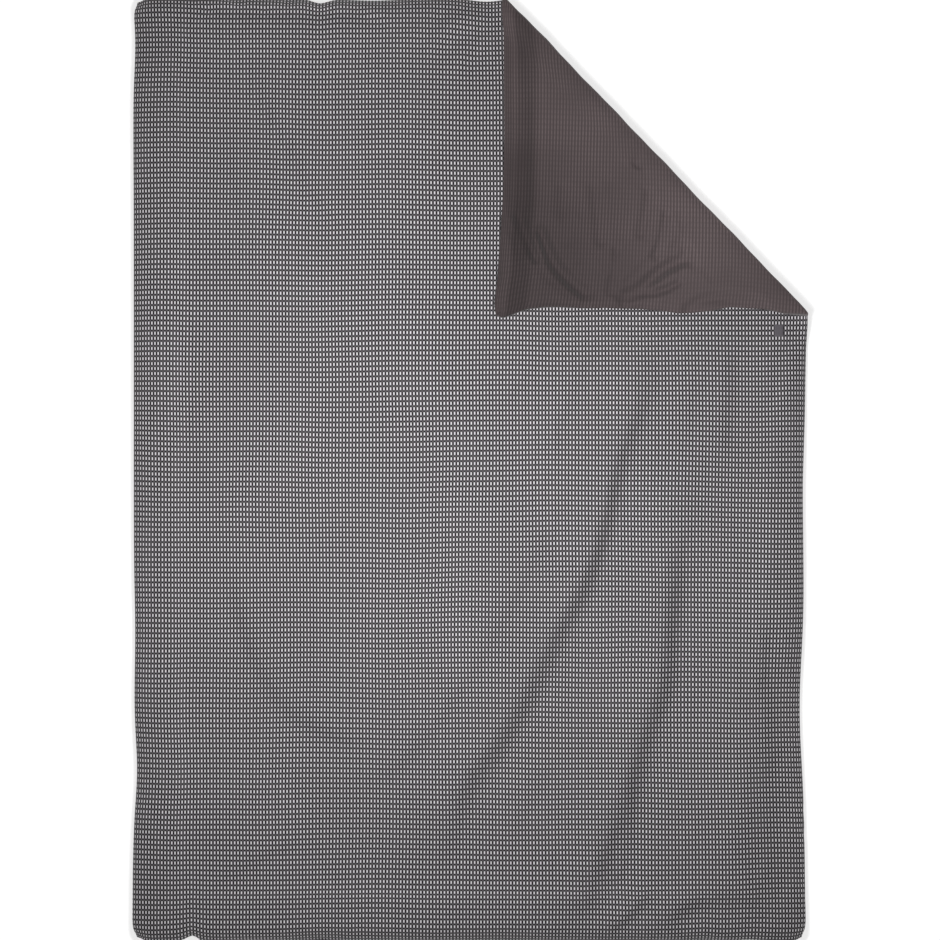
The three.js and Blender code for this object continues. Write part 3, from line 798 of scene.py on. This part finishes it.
def faceCotton():
    # two-tone dobby-woven cotton: short light floats on a dark ground, which read as mid grey from afar
    material, tree = startMaterial("dobby-woven two-tone cotton")
    uv = addNode(tree, "UVMap", uv_map="OFBake")
    across, along = weaveMask(tree, uv, weave["repeat"], weave["float"])
    inFloat = addNode(tree, "Math", {0: across, 1: along}, operation="MULTIPLY")
    union = addNode(tree, "Math", {0: across, 1: along}, operation="ADD")
    either = addNode(tree, "Math", {0: inFloat, 1: -2.0, 2: union}, operation="MULTIPLY_ADD")
    ground = addNode(tree, "Mix", {0: either, 6: srgb(weave["ground"]), 7: srgb(weave["shade"])},
                     data_type="RGBA")
    yarn = addNode(tree, "TexNoise", {"Vector": uv, "Scale": 220.0, "Detail": 2.0})
    lightness = addNode(tree, "MapRange", {"Value": yarn, "From Min": 0.3, "From Max": 0.7,
                        "To Min": 0.88, "To Max": 1.0})
    light = addNode(tree, "Mix", {0: lightness, 6: srgb(weave["lightShade"]), 7: srgb(weave["light"])},
                    data_type="RGBA")
    woven = addNode(tree, "Mix", {0: inFloat, 6: ground.outputs[2], 7: light.outputs[2]}, data_type="RGBA")
    patch = addNode(tree, "TexNoise", {"Vector": uv, "Scale": 5.0, "Detail": 3.0})
    tone = addNode(tree, "MapRange", {"Value": patch, "From Min": 0.3, "From Max": 0.7,
                   "To Min": 0.95, "To Max": 1.04})
    colour = addNode(tree, "VectorMath", {0: woven.outputs[2], "Scale": tone}, operation="SCALE")
    clothSurface(tree, colour, inFloat, 0.86, 0.12, 0.0005, uv)
    return material


def reverseCotton():
    # piece-dyed cotton in the same weave, tone on tone, so its floats show only faintly
    material, tree = startMaterial("piece-dyed dobby cotton")
    uv = addNode(tree, "UVMap", uv_map="OFBake")
    across, along = weaveMask(tree, uv, weave["ribRepeat"], weave["ribFloat"])
    inFloat = addNode(tree, "Math", {0: across, 1: along}, operation="MULTIPLY")
    yarn = addNode(tree, "TexNoise", {"Vector": uv, "Scale": 9.0, "Detail": 3.0})
    faint = addNode(tree, "MapRange", {"Value": yarn, "From Min": 0.35, "From Max": 0.65,
                    "To Min": 0.35, "To Max": 0.9})
    ribs = addNode(tree, "Math", {0: along, 1: 0.65}, operation="MULTIPLY")
    raised = addNode(tree, "Math", {0: inFloat, 1: 0.35, 2: ribs}, operation="MULTIPLY_ADD")
    amount = addNode(tree, "Math", {0: raised, 1: faint}, operation="MULTIPLY")
    woven = addNode(tree, "Mix", {0: amount, 6: srgb(weave["reverse"]),
                    7: srgb(weave["reverseFloat"])}, data_type="RGBA")
    patch = addNode(tree, "TexNoise", {"Vector": uv, "Scale": 4.0, "Detail": 4.0})
    tone = addNode(tree, "MapRange", {"Value": patch, "From Min": 0.3, "From Max": 0.7,
                   "To Min": 0.92, "To Max": 1.06})
    # painted shade: darker towards the folded corner, with painted light making the cloth paler further away
    place = addNode(tree, "VectorMath", {0: uv, 1: (uvSize[0], uvSize[1], 0)}, operation="MULTIPLY")
    reach = addNode(tree, "VectorMath", {0: place, 1: weave["dyeCentre"]}, operation="DISTANCE")
    (near, far), (dark, pale) = weave["dyeReach"], weave["dyeTone"]
    cornerPaintedShade = addNode(tree, "MapRange", {"Value": reach.outputs["Value"], "From Min": near, "From Max": far,
                   "To Min": dark, "To Max": pale}, interpolation_type="SMOOTHSTEP")
    # painted shade: a darker band along the head end of the reverse
    split = addNode(tree, "SeparateXYZ", {0: place})
    headEdge = clothTotal("foot", "head", halfLength)
    fades = [addNode(tree, "MapRange", {"Value": split.outputs[1], "From Min": headEdge - start,
                     "From Max": headEdge - end}, interpolation_type="SMOOTHSTEP")
             for start, end in (weave["facingInner"], weave["facingOuter"])]
    facing = addNode(tree, "Math", {0: fades[0], 1: fades[1]}, operation="MULTIPLY")
    headShadedTone = addNode(tree, "Math", {0: facing, 1: -weave["facing"], 2: 1.0},
                     operation="MULTIPLY_ADD")
    bothPaintedShades = addNode(tree, "Math", {0: headShadedTone, 1: cornerPaintedShade}, operation="MULTIPLY")
    both = addNode(tree, "Math", {0: tone, 1: bothPaintedShades}, operation="MULTIPLY")
    colour = addNode(tree, "VectorMath", {0: woven.outputs[2], "Scale": both}, operation="SCALE")
    clothSurface(tree, colour, raised, 0.9, 0.18, 0.0004, uv)
    return material


def buildCover():
    facePoints, reversePoints, mx, my = shapeCover()
    faceMaterial, reverseMaterial = faceCotton(), reverseCotton()
    faceFlat = gridMesh("faceFlat", facePoints, mx, my, False)
    reverseFlat = gridMesh("reverseFlat", reversePoints, mx, my, True)

    bm = cutAtFold(faceFlat, False)
    setOnHinge(bm)
    faceMain = finishMesh(bm, "coverFace", faceMaterial)
    bm = cutAtFold(faceFlat, True)
    setOnHinge(bm)
    for v in bm.verts:
        v.co = shapeFlap(foldOver(v.co))
    bmesh.ops.recalc_face_normals(bm, faces=bm.faces)
    faceCorner = finishMesh(bm, "coverFaceCorner", faceMaterial)
    reverseMain = finishMesh(cutAtFold(reverseFlat, False), "coverReverse", reverseMaterial)
    reverseCorner = buildReverseCorner(reverseFlat, reverseMaterial)
    for piece, body, node, slot in ((faceMain, "main", "cover_face_main", "face_cloth"),
                                    (faceCorner, "corner", "cover_face_corner", "face_cloth"),
                                    (reverseMain, "main", "cover_reverse_main", "reverse_cloth")):
        standsFor(piece, node, body)
    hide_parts("cover_reverse_corner")
    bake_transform(reverseCorner)
    print("cover built")
    return facePoints, faceMain, faceCorner, reverseMain, reverseCorner


facePoints, faceMain, faceCorner, reverseMain, reverseCorner = buildCover()

# the closure, ties and labels, in metres
closure = {
    "tapeThick": 0.0005,
    "coilWire": 0.00036,
    "coilPitch": 0.0030,     # real coils turn every 1.3 mm; wider here so that the turns show
    "hemOffset": 0.00182,    # how far inside the face panel its hem lies
    "labelCurl": 0.0016,
    "loopRadius": 0.0042,
    "tieRadius": 0.0036,
    "ringCord": 0.0009,
    "ringInset": 0.016,      # the rings sit inside the cover's rounded corners
}

# the insert: fill pads, quilted ticking, piping; in metres
insert = {
    "columns": (-0.652, -0.329, 0.0, 0.329, 0.652),   # stitch lines
    "rows": (-0.922, -0.6187, -0.3093, 0.0, 0.3093, 0.6187, 0.922),
    "middle": 0.0187,        # height of the stitch lines
    "crown": 0.0140,         # fill above and below them
    "crownReach": 0.10,
    "tickingGap": 0.0018,
    "pullIn": 0.05,          # how far the pads' sides draw in between their corners
    "pipingRadius": 0.002,
    "cutGap": 0.003,
    "grid": 27,              # points across one cell of fill
    "cutCorner": 0.62,       # along each leg of the corner beyond the fold
    "creaseRoom": 0.0014,    # extra room over the filling in the folded corner
    "fineGrid": 47,          # and in the folded corner, where the creases are
}


def surfaceOf(piece):
    mesh = piece.data
    return BVHTree.FromPolygons([v.co[:] for v in mesh.vertices], [p.vertices[:] for p in mesh.polygons])


# for each body: the cloth above its filling and the cloth below
coverAround = {"main": (surfaceOf(faceMain), surfaceOf(reverseMain)),
               "corner": (surfaceOf(reverseCorner), surfaceOf(faceCorner))}


def keepInside(points, body, gap, reach=0.012):
    # presses the filling down wherever the cover comes lower than it, with a little room round about
    above, below = coverAround[body]
    near = reach * 0.7       # on the diagonals
    half = reach / 2
    around = [(0, 0), (reach, 0), (-reach, 0), (0, reach), (0, -reach), (near, near), (-near, near),
              (near, -near), (-near, -near), (half, 0), (-half, 0), (0, half), (0, -half)]
    gap += insert["creaseRoom"] if body == "corner" else 0
    for p in points:
        top, base = 1.0, -1.0
        for dx, dy in around:
            hit = above.ray_cast(Vector((p.x + dx, p.y + dy, 0.2)), Vector((0, 0, -1)))[0]
            if hit:
                top = min(top, hit.z - gap)
            hit = below.ray_cast(Vector((p.x + dx, p.y + dy, -0.1)), Vector((0, 0, 1)))[0]
            if hit:
                base = max(base, hit.z + gap)
        p.z = (top + base) / 2 if top < base else min(max(p.z, base), top)


def crownShare(distance):
    t = np.clip(distance / insert["crownReach"], 0, 1)
    return np.sqrt(1 - (1 - t) ** 2)


def denseEnds(low, high, count):
    # a row of places between two ends, closer together near them
    return (low + high) / 2 + (high - low) / 2 * np.sin(np.linspace(-math.pi / 2, math.pi / 2, count))


def flatGrid(xs, ys):
    gx, gy = np.meshgrid(xs, ys)
    rows, columns = gx.shape
    quads = quadsOf(np.arange(rows * columns).reshape(rows, columns))
    mesh = bpy.data.meshes.new("flatGrid")
    points = np.stack([gx, gy, gx * 0], axis=-1)
    mesh.from_pydata(points.reshape(-1, 3).tolist(), [], quads.tolist())
    bm = bmesh.new()
    bm.from_mesh(mesh)
    return bm


def buildPad(name, material):
    # one cell of fill: a crowned cushion, its sides drawn in between the corners
    low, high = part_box(name)
    body = "corner" if low.z > hingeHeight else "main"
    middle = insert["middle"] if body == "main" else 2 * hingeHeight - insert["middle"]
    count = insert["grid"] if body == "main" else insert["fineGrid"]
    bm = flatGrid(denseEnds(low.x, high.x, count), denseEnds(low.y, high.y, count))
    trimAtFold(bm, False, insert["cutGap"])
    flat = np.array([v.co[:2] for v in bm.verts])
    x, y = flat[:, 0], flat[:, 1]
    toFold = -beyondFold(x, y) - insert["cutGap"]
    edges = np.minimum.reduce([x - low.x, high.x - x, y - low.y, high.y - y, toFold])
    share = crownShare(np.maximum(edges, 0))
    uneven = 1 + 0.05 * waves(x, y, 0.12, 4)
    half = insert["crown"] * share * uneven
    u = (2 * x - low.x - high.x) / (high.x - low.x)
    v = (2 * y - low.y - high.y) / (high.y - low.y)
    pull = insert["pullIn"] * 0.5
    shiftX = -u * np.abs(u) * pull * (1 - v * v) * (high.x - low.x) / 2
    shiftY = -v * np.abs(v) * pull * (1 - u * u) * (high.y - low.y) / 2
    upper, lower = {}, {}
    bm.verts.index_update()
    for k, vert in enumerate(list(bm.verts)):
        px, py = x[k] + shiftX[k], y[k] + shiftY[k]
        top = Vector((px, py, middle + half[k]))
        base = Vector((px, py, middle - half[k]))
        vert.co = shapeFlap(top) if body == "corner" else top
        upper[vert] = vert
        onRim = share[k] < 1e-4
        lower[vert] = vert if onRim else bm.verts.new(shapeFlap(base) if body == "corner" else base)
    for face in list(bm.faces):
        corners = [lower[v] for v in face.verts][::-1]
        if len(set(corners)) > 2 and not all(c in upper for c in corners):
            bm.faces.new(corners)
    keepInside([v.co for v in bm.verts], body, 0.0022)
    bmesh.ops.recalc_face_normals(bm, faces=bm.faces)
    pad = finishMesh(bm, name.replace("fill_pad_", "fillPad_"), material)
    standsFor(pad, name, body)
    return pad


def cellDistance(x, y):
    distance = np.full(x.shape, 1e9)
    for places, lines in ((x, insert["columns"]), (y, insert["rows"])):
        for line in lines:
            distance = np.minimum(distance, np.abs(places - line))
    return distance


def buildTicking(name, side, body, material):
    # a quilted panel of the insert, drawn down to the stitch lines between the cells
    border = tickHigh.x
    xs, ys = [-border], [-tickHigh.y]
    count = insert["grid"] if body == "main" else insert["fineGrid"]
    for lines, places in ((insert["columns"], xs), (insert["rows"], ys)):
        for low, high in zip(lines, lines[1:]):
            places += list(denseEnds(low, high, count))[0 if low == lines[0] else 1:]
    xs.append(border)
    ys.append(tickHigh.y)
    bm = flatGrid(np.array(xs), np.array(ys))
    trimAtFold(bm, body == "corner", insert["cutGap"])
    flat = np.array([v.co[:2] for v in bm.verts])
    x, y = flat[:, 0], flat[:, 1]
    share = crownShare(cellDistance(x, y))
    outside = np.minimum(border - np.abs(x), tickHigh.y - np.abs(y))
    share = np.where(outside < tickHigh.x - insert["columns"][-1], 0, share)
    gap = insert["tickingGap"] * smooth(outside / 0.004)
    stitch = 0.0005 * waves(x, y, 0.019, 7) * (1 - share)
    height = insert["middle"] + side * (insert["crown"] * 1.03 * share + gap) + stitch
    for v, z in zip(bm.verts, height):
        v.co.z = z
        if body == "corner":
            v.co = shapeFlap(foldOver(v.co))
    keepInside([v.co for v in bm.verts], body, 0.0011)
    bmesh.ops.recalc_face_normals(bm, faces=bm.faces)
    panel = finishMesh(bm, name, material)
    standsFor(panel, "ticking_" + ("top_" if side > 0 else "base_") + body, body)
    return panel


def tubeAlong(points, radius, sides, closed, squashZ=1.0):
    # a round cord laid along a list of points
    points = np.array(points, float)
    count = len(points)
    ahead = np.roll(points, -1, axis=0) - np.roll(points, 1, axis=0)
    if not closed:
        ahead[0], ahead[-1] = points[1] - points[0], points[-1] - points[-2]
    ahead /= np.linalg.norm(ahead, axis=1, keepdims=True)
    up = np.array([0, 0, 1.0]) if abs(ahead[:, 2]).max() < 0.9 else np.array([1.0, 0, 0])
    sideways = np.cross(ahead, up)
    sideways /= np.linalg.norm(sideways, axis=1, keepdims=True)
    upward = np.cross(sideways, ahead)
    turn = np.arange(sides) * 2 * math.pi / sides
    rings = (points[:, None] + radius * (sideways[:, None] * np.cos(turn)[:, None]
             + squashZ * upward[:, None] * np.sin(turn)[:, None]))
    faces = []
    for k in range(count if closed else count - 1):
        first, second = k * sides, (k + 1) % count * sides
        for n in range(sides):
            m = (n + 1) % sides
            faces.append((first + n, first + m, second + m, second + n))
    if not closed:
        faces.append(tuple(range(sides))[::-1])
        faces.append(tuple(range((count - 1) * sides, count * sides)))
    mesh = bpy.data.meshes.new("tube")
    mesh.from_pydata(rings.reshape(-1, 3).tolist(), [], faces)
    bm = bmesh.new()
    bm.from_mesh(mesh)
    bmesh.ops.recalc_face_normals(bm, faces=bm.faces)
    return bm


def roundedPath(halfX, halfY, radius, z):
    # a rounded rectangle, counter-clockwise, as closely spaced points
    path = []
    for quarter, (sx, sy) in enumerate(((1, -1), (1, 1), (-1, 1), (-1, -1))):
        cx, cy = sx * (halfX - radius), sy * (halfY - radius)
        for step in range(9):
            angle = (quarter - 1) * math.pi / 2 + step * math.pi / 16
            path.append(Vector((cx + radius * math.cos(angle), cy + radius * math.sin(angle), z)))
    dense = []
    for a, b in zip(path, path[1:] + path[:1]):
        count = max(1, round((b - a).length / 0.006))
        dense += [a.lerp(b, k / count) for k in range(count)]
    return dense


def buildPiping(body, material):
    low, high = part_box("insert_piping_main")
    radius = insert["pipingRadius"]
    path = roundedPath(high.x - radius, high.y - radius, 0.03, (low.z + high.z) / 2)
    gap = insert["cutGap"]
    beyond = [beyondFold(p.x, p.y) for p in path]
    wanted = [(b < -gap) if body == "main" else (b > gap) for b in beyond]
    start = [k for k in range(len(path)) if wanted[k] and not wanted[k - 1]][0]
    run = [p for p, isWanted in zip(path[start:] + path[:start], wanted[start:] + wanted[:start]) if isWanted]
    if body == "corner":
        run = [shapeFlap(foldOver(p)) for p in run]
    keepInside(run, body, radius + 0.001)
    piping = finishMesh(tubeAlong(run, radius * 0.94, 10, False), "insertPiping_" + body, material)
    standsFor(piping, "insert_piping_" + body, body)


def buildRing(name, material):
    # a small loop of tape, sewn to the corner it holds
    low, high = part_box(name)
    centre = (low + high) / 2
    inFolded = low.z > hingeHeight
    if inFolded:
        centre = shapeFlap(centre)
    middle = (flapLow + foldPoint) / 2 if "head_right" in name else Vector((0, 0, 0))
    outwards = Vector((centre.x - middle.x, centre.y - middle.y, 0)).normalized()
    centre -= outwards * closure["ringInset"]
    radius = closure["loopRadius"] if name.startswith("insert") else closure["tieRadius"]
    upright = name.startswith("cover")
    points = []
    for step in range(28):
        angle = step * 2 * math.pi / 28
        rise = Vector((0, 0, 1)) if upright else Vector((-outwards.y, outwards.x, 0))
        points.append(centre + outwards * radius * math.cos(angle) + rise * radius * math.sin(angle))
    ring = finishMesh(tubeAlong(points, closure["ringCord"], 8, True), name.replace("_", ""), material)
    standsFor(ring, name, "corner" if inFolded else "main")


def fibreFill():
    # carded polyester wadding: clouded, soft, no gloss
    material, tree = startMaterial("carded polyester wadding")
    place = addNode(tree, "TexCoord").outputs["Object"]
    strands = addNode(tree, "TexNoise", {"Vector": place, "Scale": 160.0, "Detail": 6.0, "Distortion": 1.5})
    cloud = addNode(tree, "TexNoise", {"Vector": place, "Scale": 18.0, "Detail": 3.0})
    mixed = addNode(tree, "Math", {0: strands, 1: 0.5, 2: cloud}, operation="MULTIPLY_ADD")
    tone = addNode(tree, "MapRange", {"Value": mixed, "From Min": 0.5, "From Max": 1.0})
    colour = addNode(tree, "Mix", {0: tone, 6: srgb("dcdad4"), 7: srgb("f6f5f1")}, data_type="RGBA")
    bump = addNode(tree, "Bump", {"Height": mixed, "Distance": 0.003, "Strength": 0.7})
    rough = addNode(tree, "MapRange", {"Value": strands, "To Min": 0.85, "To Max": 1.0})
    surface = addNode(tree, "BsdfPrincipled", {"Base Color": colour.outputs[2], "Normal": bump,
                      "Roughness": rough, "Sheen Weight": 0.3, "IOR": 1.5, "Specular IOR Level": 0.2})
    addNode(tree, "OutputMaterial", {"Surface": surface})
    return material


def plainWeave(name, threadMm, base, shade, roughness):
    # plain-woven yarn: two sets of threads over and under, drawn at a thread spacing that still shows
    material, tree = startMaterial(name)
    place = addNode(tree, "TexCoord").outputs["Object"]
    turns = 2 * math.pi / (threadMm * 0.001)
    split = addNode(tree, "SeparateXYZ", {0: place})
    rises = []
    for axis in (0, 1):
        phase = addNode(tree, "Math", {0: split.outputs[axis], 1: turns}, operation="MULTIPLY")
        rises.append(addNode(tree, "Math", {0: phase}, operation="SINE"))
    crossing = addNode(tree, "Math", {0: rises[0], 1: rises[1]}, operation="MULTIPLY")
    share = addNode(tree, "MapRange", {"Value": crossing, "From Min": -1.0, "From Max": 1.0})
    cloud = addNode(tree, "TexNoise", {"Vector": place, "Scale": 14.0, "Detail": 3.0})
    amount = addNode(tree, "Math", {0: share, 1: cloud}, operation="MULTIPLY")
    colour = addNode(tree, "Mix", {0: amount, 6: srgb(shade), 7: srgb(base)}, data_type="RGBA")
    bump = addNode(tree, "Bump", {"Height": share, "Distance": 0.0003, "Strength": 0.5})
    rough = addNode(tree, "MapRange", {"Value": cloud, "To Min": roughness - 0.06,
                    "To Max": roughness + 0.06})
    surface = addNode(tree, "BsdfPrincipled", {"Base Color": colour.outputs[2], "Normal": bump,
                      "Roughness": rough, "Sheen Weight": 0.1, "IOR": 1.46, "Specular IOR Level": 0.3})
    addNode(tree, "OutputMaterial", {"Surface": surface})
    return material


def buildInsert():
    fill = fibreFill()
    # real threads lie 0.2 mm apart; drawn wider so that they show
    ticking = plainWeave("downproof cotton ticking", 0.9, "f3f2ee", "d9d7d1", 0.72)
    for name in sorted(frame["nodes"]):
        if name.startswith("fill_pad"):
            buildPad(name, fill)
        elif name.startswith("insert_loop"):
            buildRing(name, ticking)
    print("fill pads built")
    for body in ("main", "corner"):
        for side, label in ((1, "Top"), (-1, "Base")):
            buildTicking("ticking" + label + body.capitalize(), side, body, ticking)
        buildPiping(body, ticking)
    print("ticking and piping built")


buildInsert()


def stripGrid(name, along, across, place, material, thickness):
    # a thin band of cloth: place(u, v) gives each point
    points = [place(u, v) for v in across for u in along]
    quads = quadsOf(np.arange(len(points)).reshape(len(across), len(along)))
    mesh = bpy.data.meshes.new(name)
    mesh.from_pydata(points, [], quads.tolist())
    band = makePiece(mesh, name, material)
    solid = band.modifiers.new("thickness", "SOLIDIFY")
    solid.thickness = thickness
    solid.offset = 0
    return band


def buildTapes(material):
    tapes = []
    for part in ("upper", "lower"):
        low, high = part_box("zip_tape_" + part)

        def place(u, v, low=low, high=high):
            ripple = 0.00025 * math.sin(u * 70) * abs(v - cover["zipHeight"]) / 0.012
            return (u, (low.y + high.y) / 2 + ripple, v)

        along, across = np.linspace(low.x, high.x, 220), np.linspace(low.z, high.z, 5)
        tape = stripGrid("zipTape_" + part, along, across, place, material, closure["tapeThick"] * 0.8)
        standsFor(tape, "zip_tape_" + part)
        tapes.append(tape)
    return tapes


def buildCoils(material):
    for part in ("upper", "lower"):
        low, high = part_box("zip_coil_" + part)
        wire = closure["coilWire"]
        radius = min(high.y - low.y, high.z - low.z) / 2 - wire
        turns = (high.x - low.x - 2 * wire) / closure["coilPitch"]
        count = round(turns * 10)
        points = []
        for k in range(count + 1):
            angle = 2 * math.pi * turns * k / count
            points.append((low.x + wire + (high.x - low.x - 2 * wire) * k / count,
                           (low.y + high.y) / 2 + radius * math.cos(angle),
                           (low.z + high.z) / 2 + radius * math.sin(angle)))
        coil = finishMesh(tubeAlong(points, wire, 5, False), "zipCoil_" + part, material)
        standsFor(coil, "zip_coil_" + part)


def buildHems(material, face):
    # turned hems inside the foot edge, following the panels they belong to
    hems = []
    usable = np.abs(face[0, :, 0]) < cover["zipHalf"]
    xs = face[0, usable, 0]
    upper = face[2:7, usable]
    low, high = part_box("hem_lower")
    for part in ("upper", "lower"):
        if part == "upper":
            def place(u, v):
                row = upper[min(int(v), 4)]
                y = np.interp(u, xs, row[:, 1]) + closure["hemOffset"]
                z = np.interp(u, xs, row[:, 2]) - closure["hemOffset"]
                return (u, float(y), float(z))
            across = range(5)
        else:
            def place(u, v):
                return (u, v, 0.0022 + 0.0003 * math.sin(u * 60))
            across = np.linspace(low.y, high.y, 5)
        along = np.linspace(-cover["zipHalf"], cover["zipHalf"], 140)
        hem = stripGrid("hem" + part.capitalize(), along, across, place, material, 0.0007)
        standsFor(hem, "hem_" + part)
        hems.append(hem)
    return hems


def heightUnder(piece, x, y):
    # the top surface of a piece straight below a point
    hit, place, normal, index = piece.ray_cast(Vector((x, y, 0.2)), Vector((0, 0, -1)))
    return place.z if hit else lyingTop


def buildTab(material):
    low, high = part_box("face_tab")

    def place(u, v):
        return (u, v, heightUnder(faceMain, u, v) + 0.0004)

    along, across = np.linspace(low.x, high.x, 9), np.linspace(low.y, high.y, 11)
    tab = stripGrid("faceTab", along, across, place, material, 0.0005)
    standsFor(tab, "face_tab")
    return tab


def buildCareLabel(material):
    low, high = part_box("care_label")

    def place(u, v):
        bend = ((v - low.y) / (high.y - low.y)) ** 2
        return (u, v, (low.z + high.z) / 2 + closure["labelCurl"] * bend)

    along, across = np.linspace(low.x, high.x, 9), np.linspace(low.y, high.y, 13)
    label = stripGrid("careLabel", along, across, place, material, 0.0003)
    standsFor(label, "care_label")
    return label


def steelFinish():
    # die-cast and nickel-plated: bright, faintly brushed, scuffed on its edges
    material, tree = startMaterial("nickel-plated die-cast zinc")
    place = addNode(tree, "TexCoord").outputs["Object"]
    scuff = addNode(tree, "TexNoise", {"Vector": place, "Scale": 900.0, "Detail": 4.0})
    edge = addNode(tree, "NewGeometry").outputs["Pointiness"]
    wear = addNode(tree, "MapRange", {"Value": edge, "From Min": 0.5, "From Max": 0.6})
    colour = addNode(tree, "Mix", {0: wear, 6: srgb("8f8d8a"), 7: srgb("c9c7c2")},
                     data_type="RGBA")
    rough = addNode(tree, "MapRange", {"Value": scuff, "To Min": 0.22, "To Max": 0.42})
    bump = addNode(tree, "Bump", {"Height": scuff, "Distance": 0.0001, "Strength": 0.3})
    surface = addNode(tree, "BsdfPrincipled", {"Base Color": colour.outputs[2], "Metallic": 1.0,
                      "Roughness": rough, "Normal": bump})
    addNode(tree, "OutputMaterial", {"Surface": surface})
    return material


def buildClosure():
    tapeCloth = plainWeave("woven polyester zip tape", 0.8, "4d4647", "332e2f", 0.66)
    nylon = plainWeave("extruded nylon coil", 0.6, "3c3637", "2c2728", 0.42)
    satin = plainWeave("woven satin label ribbon", 0.7, "f0eee9", "dddad3", 0.38)
    tabCloth = plainWeave("grey woven tab ribbon", 0.9, "77737a", "5a565b", 0.6)
    tapes = buildTapes(tapeCloth)
    buildCoils(nylon)
    hems = buildHems(plainWeave("turned cotton hem", 1.0, "8a868a", "5d595c", 0.85), facePoints)
    hems[1].data.materials[0] = plainWeave("turned dyed cotton hem", 1.0, "5b5152", "433a3b", 0.88)
    tab = buildTab(tabCloth)
    label = buildCareLabel(satin)
    for name in sorted(frame["nodes"]):
        if name.startswith("cover_tie"):
            buildRing(name, tapeCloth)
    metal = steelFinish()
    for name in ("zip_slider", "zip_pull", "zip_stop_left", "zip_stop_right"):
        for materialSlot in frame["nodes"][name].material_slots:
            materialSlot.material = metal
    print("closure and labels built")
    return tapes, hems, tab, label


tapes, hems, faceTab, careLabel = buildClosure()
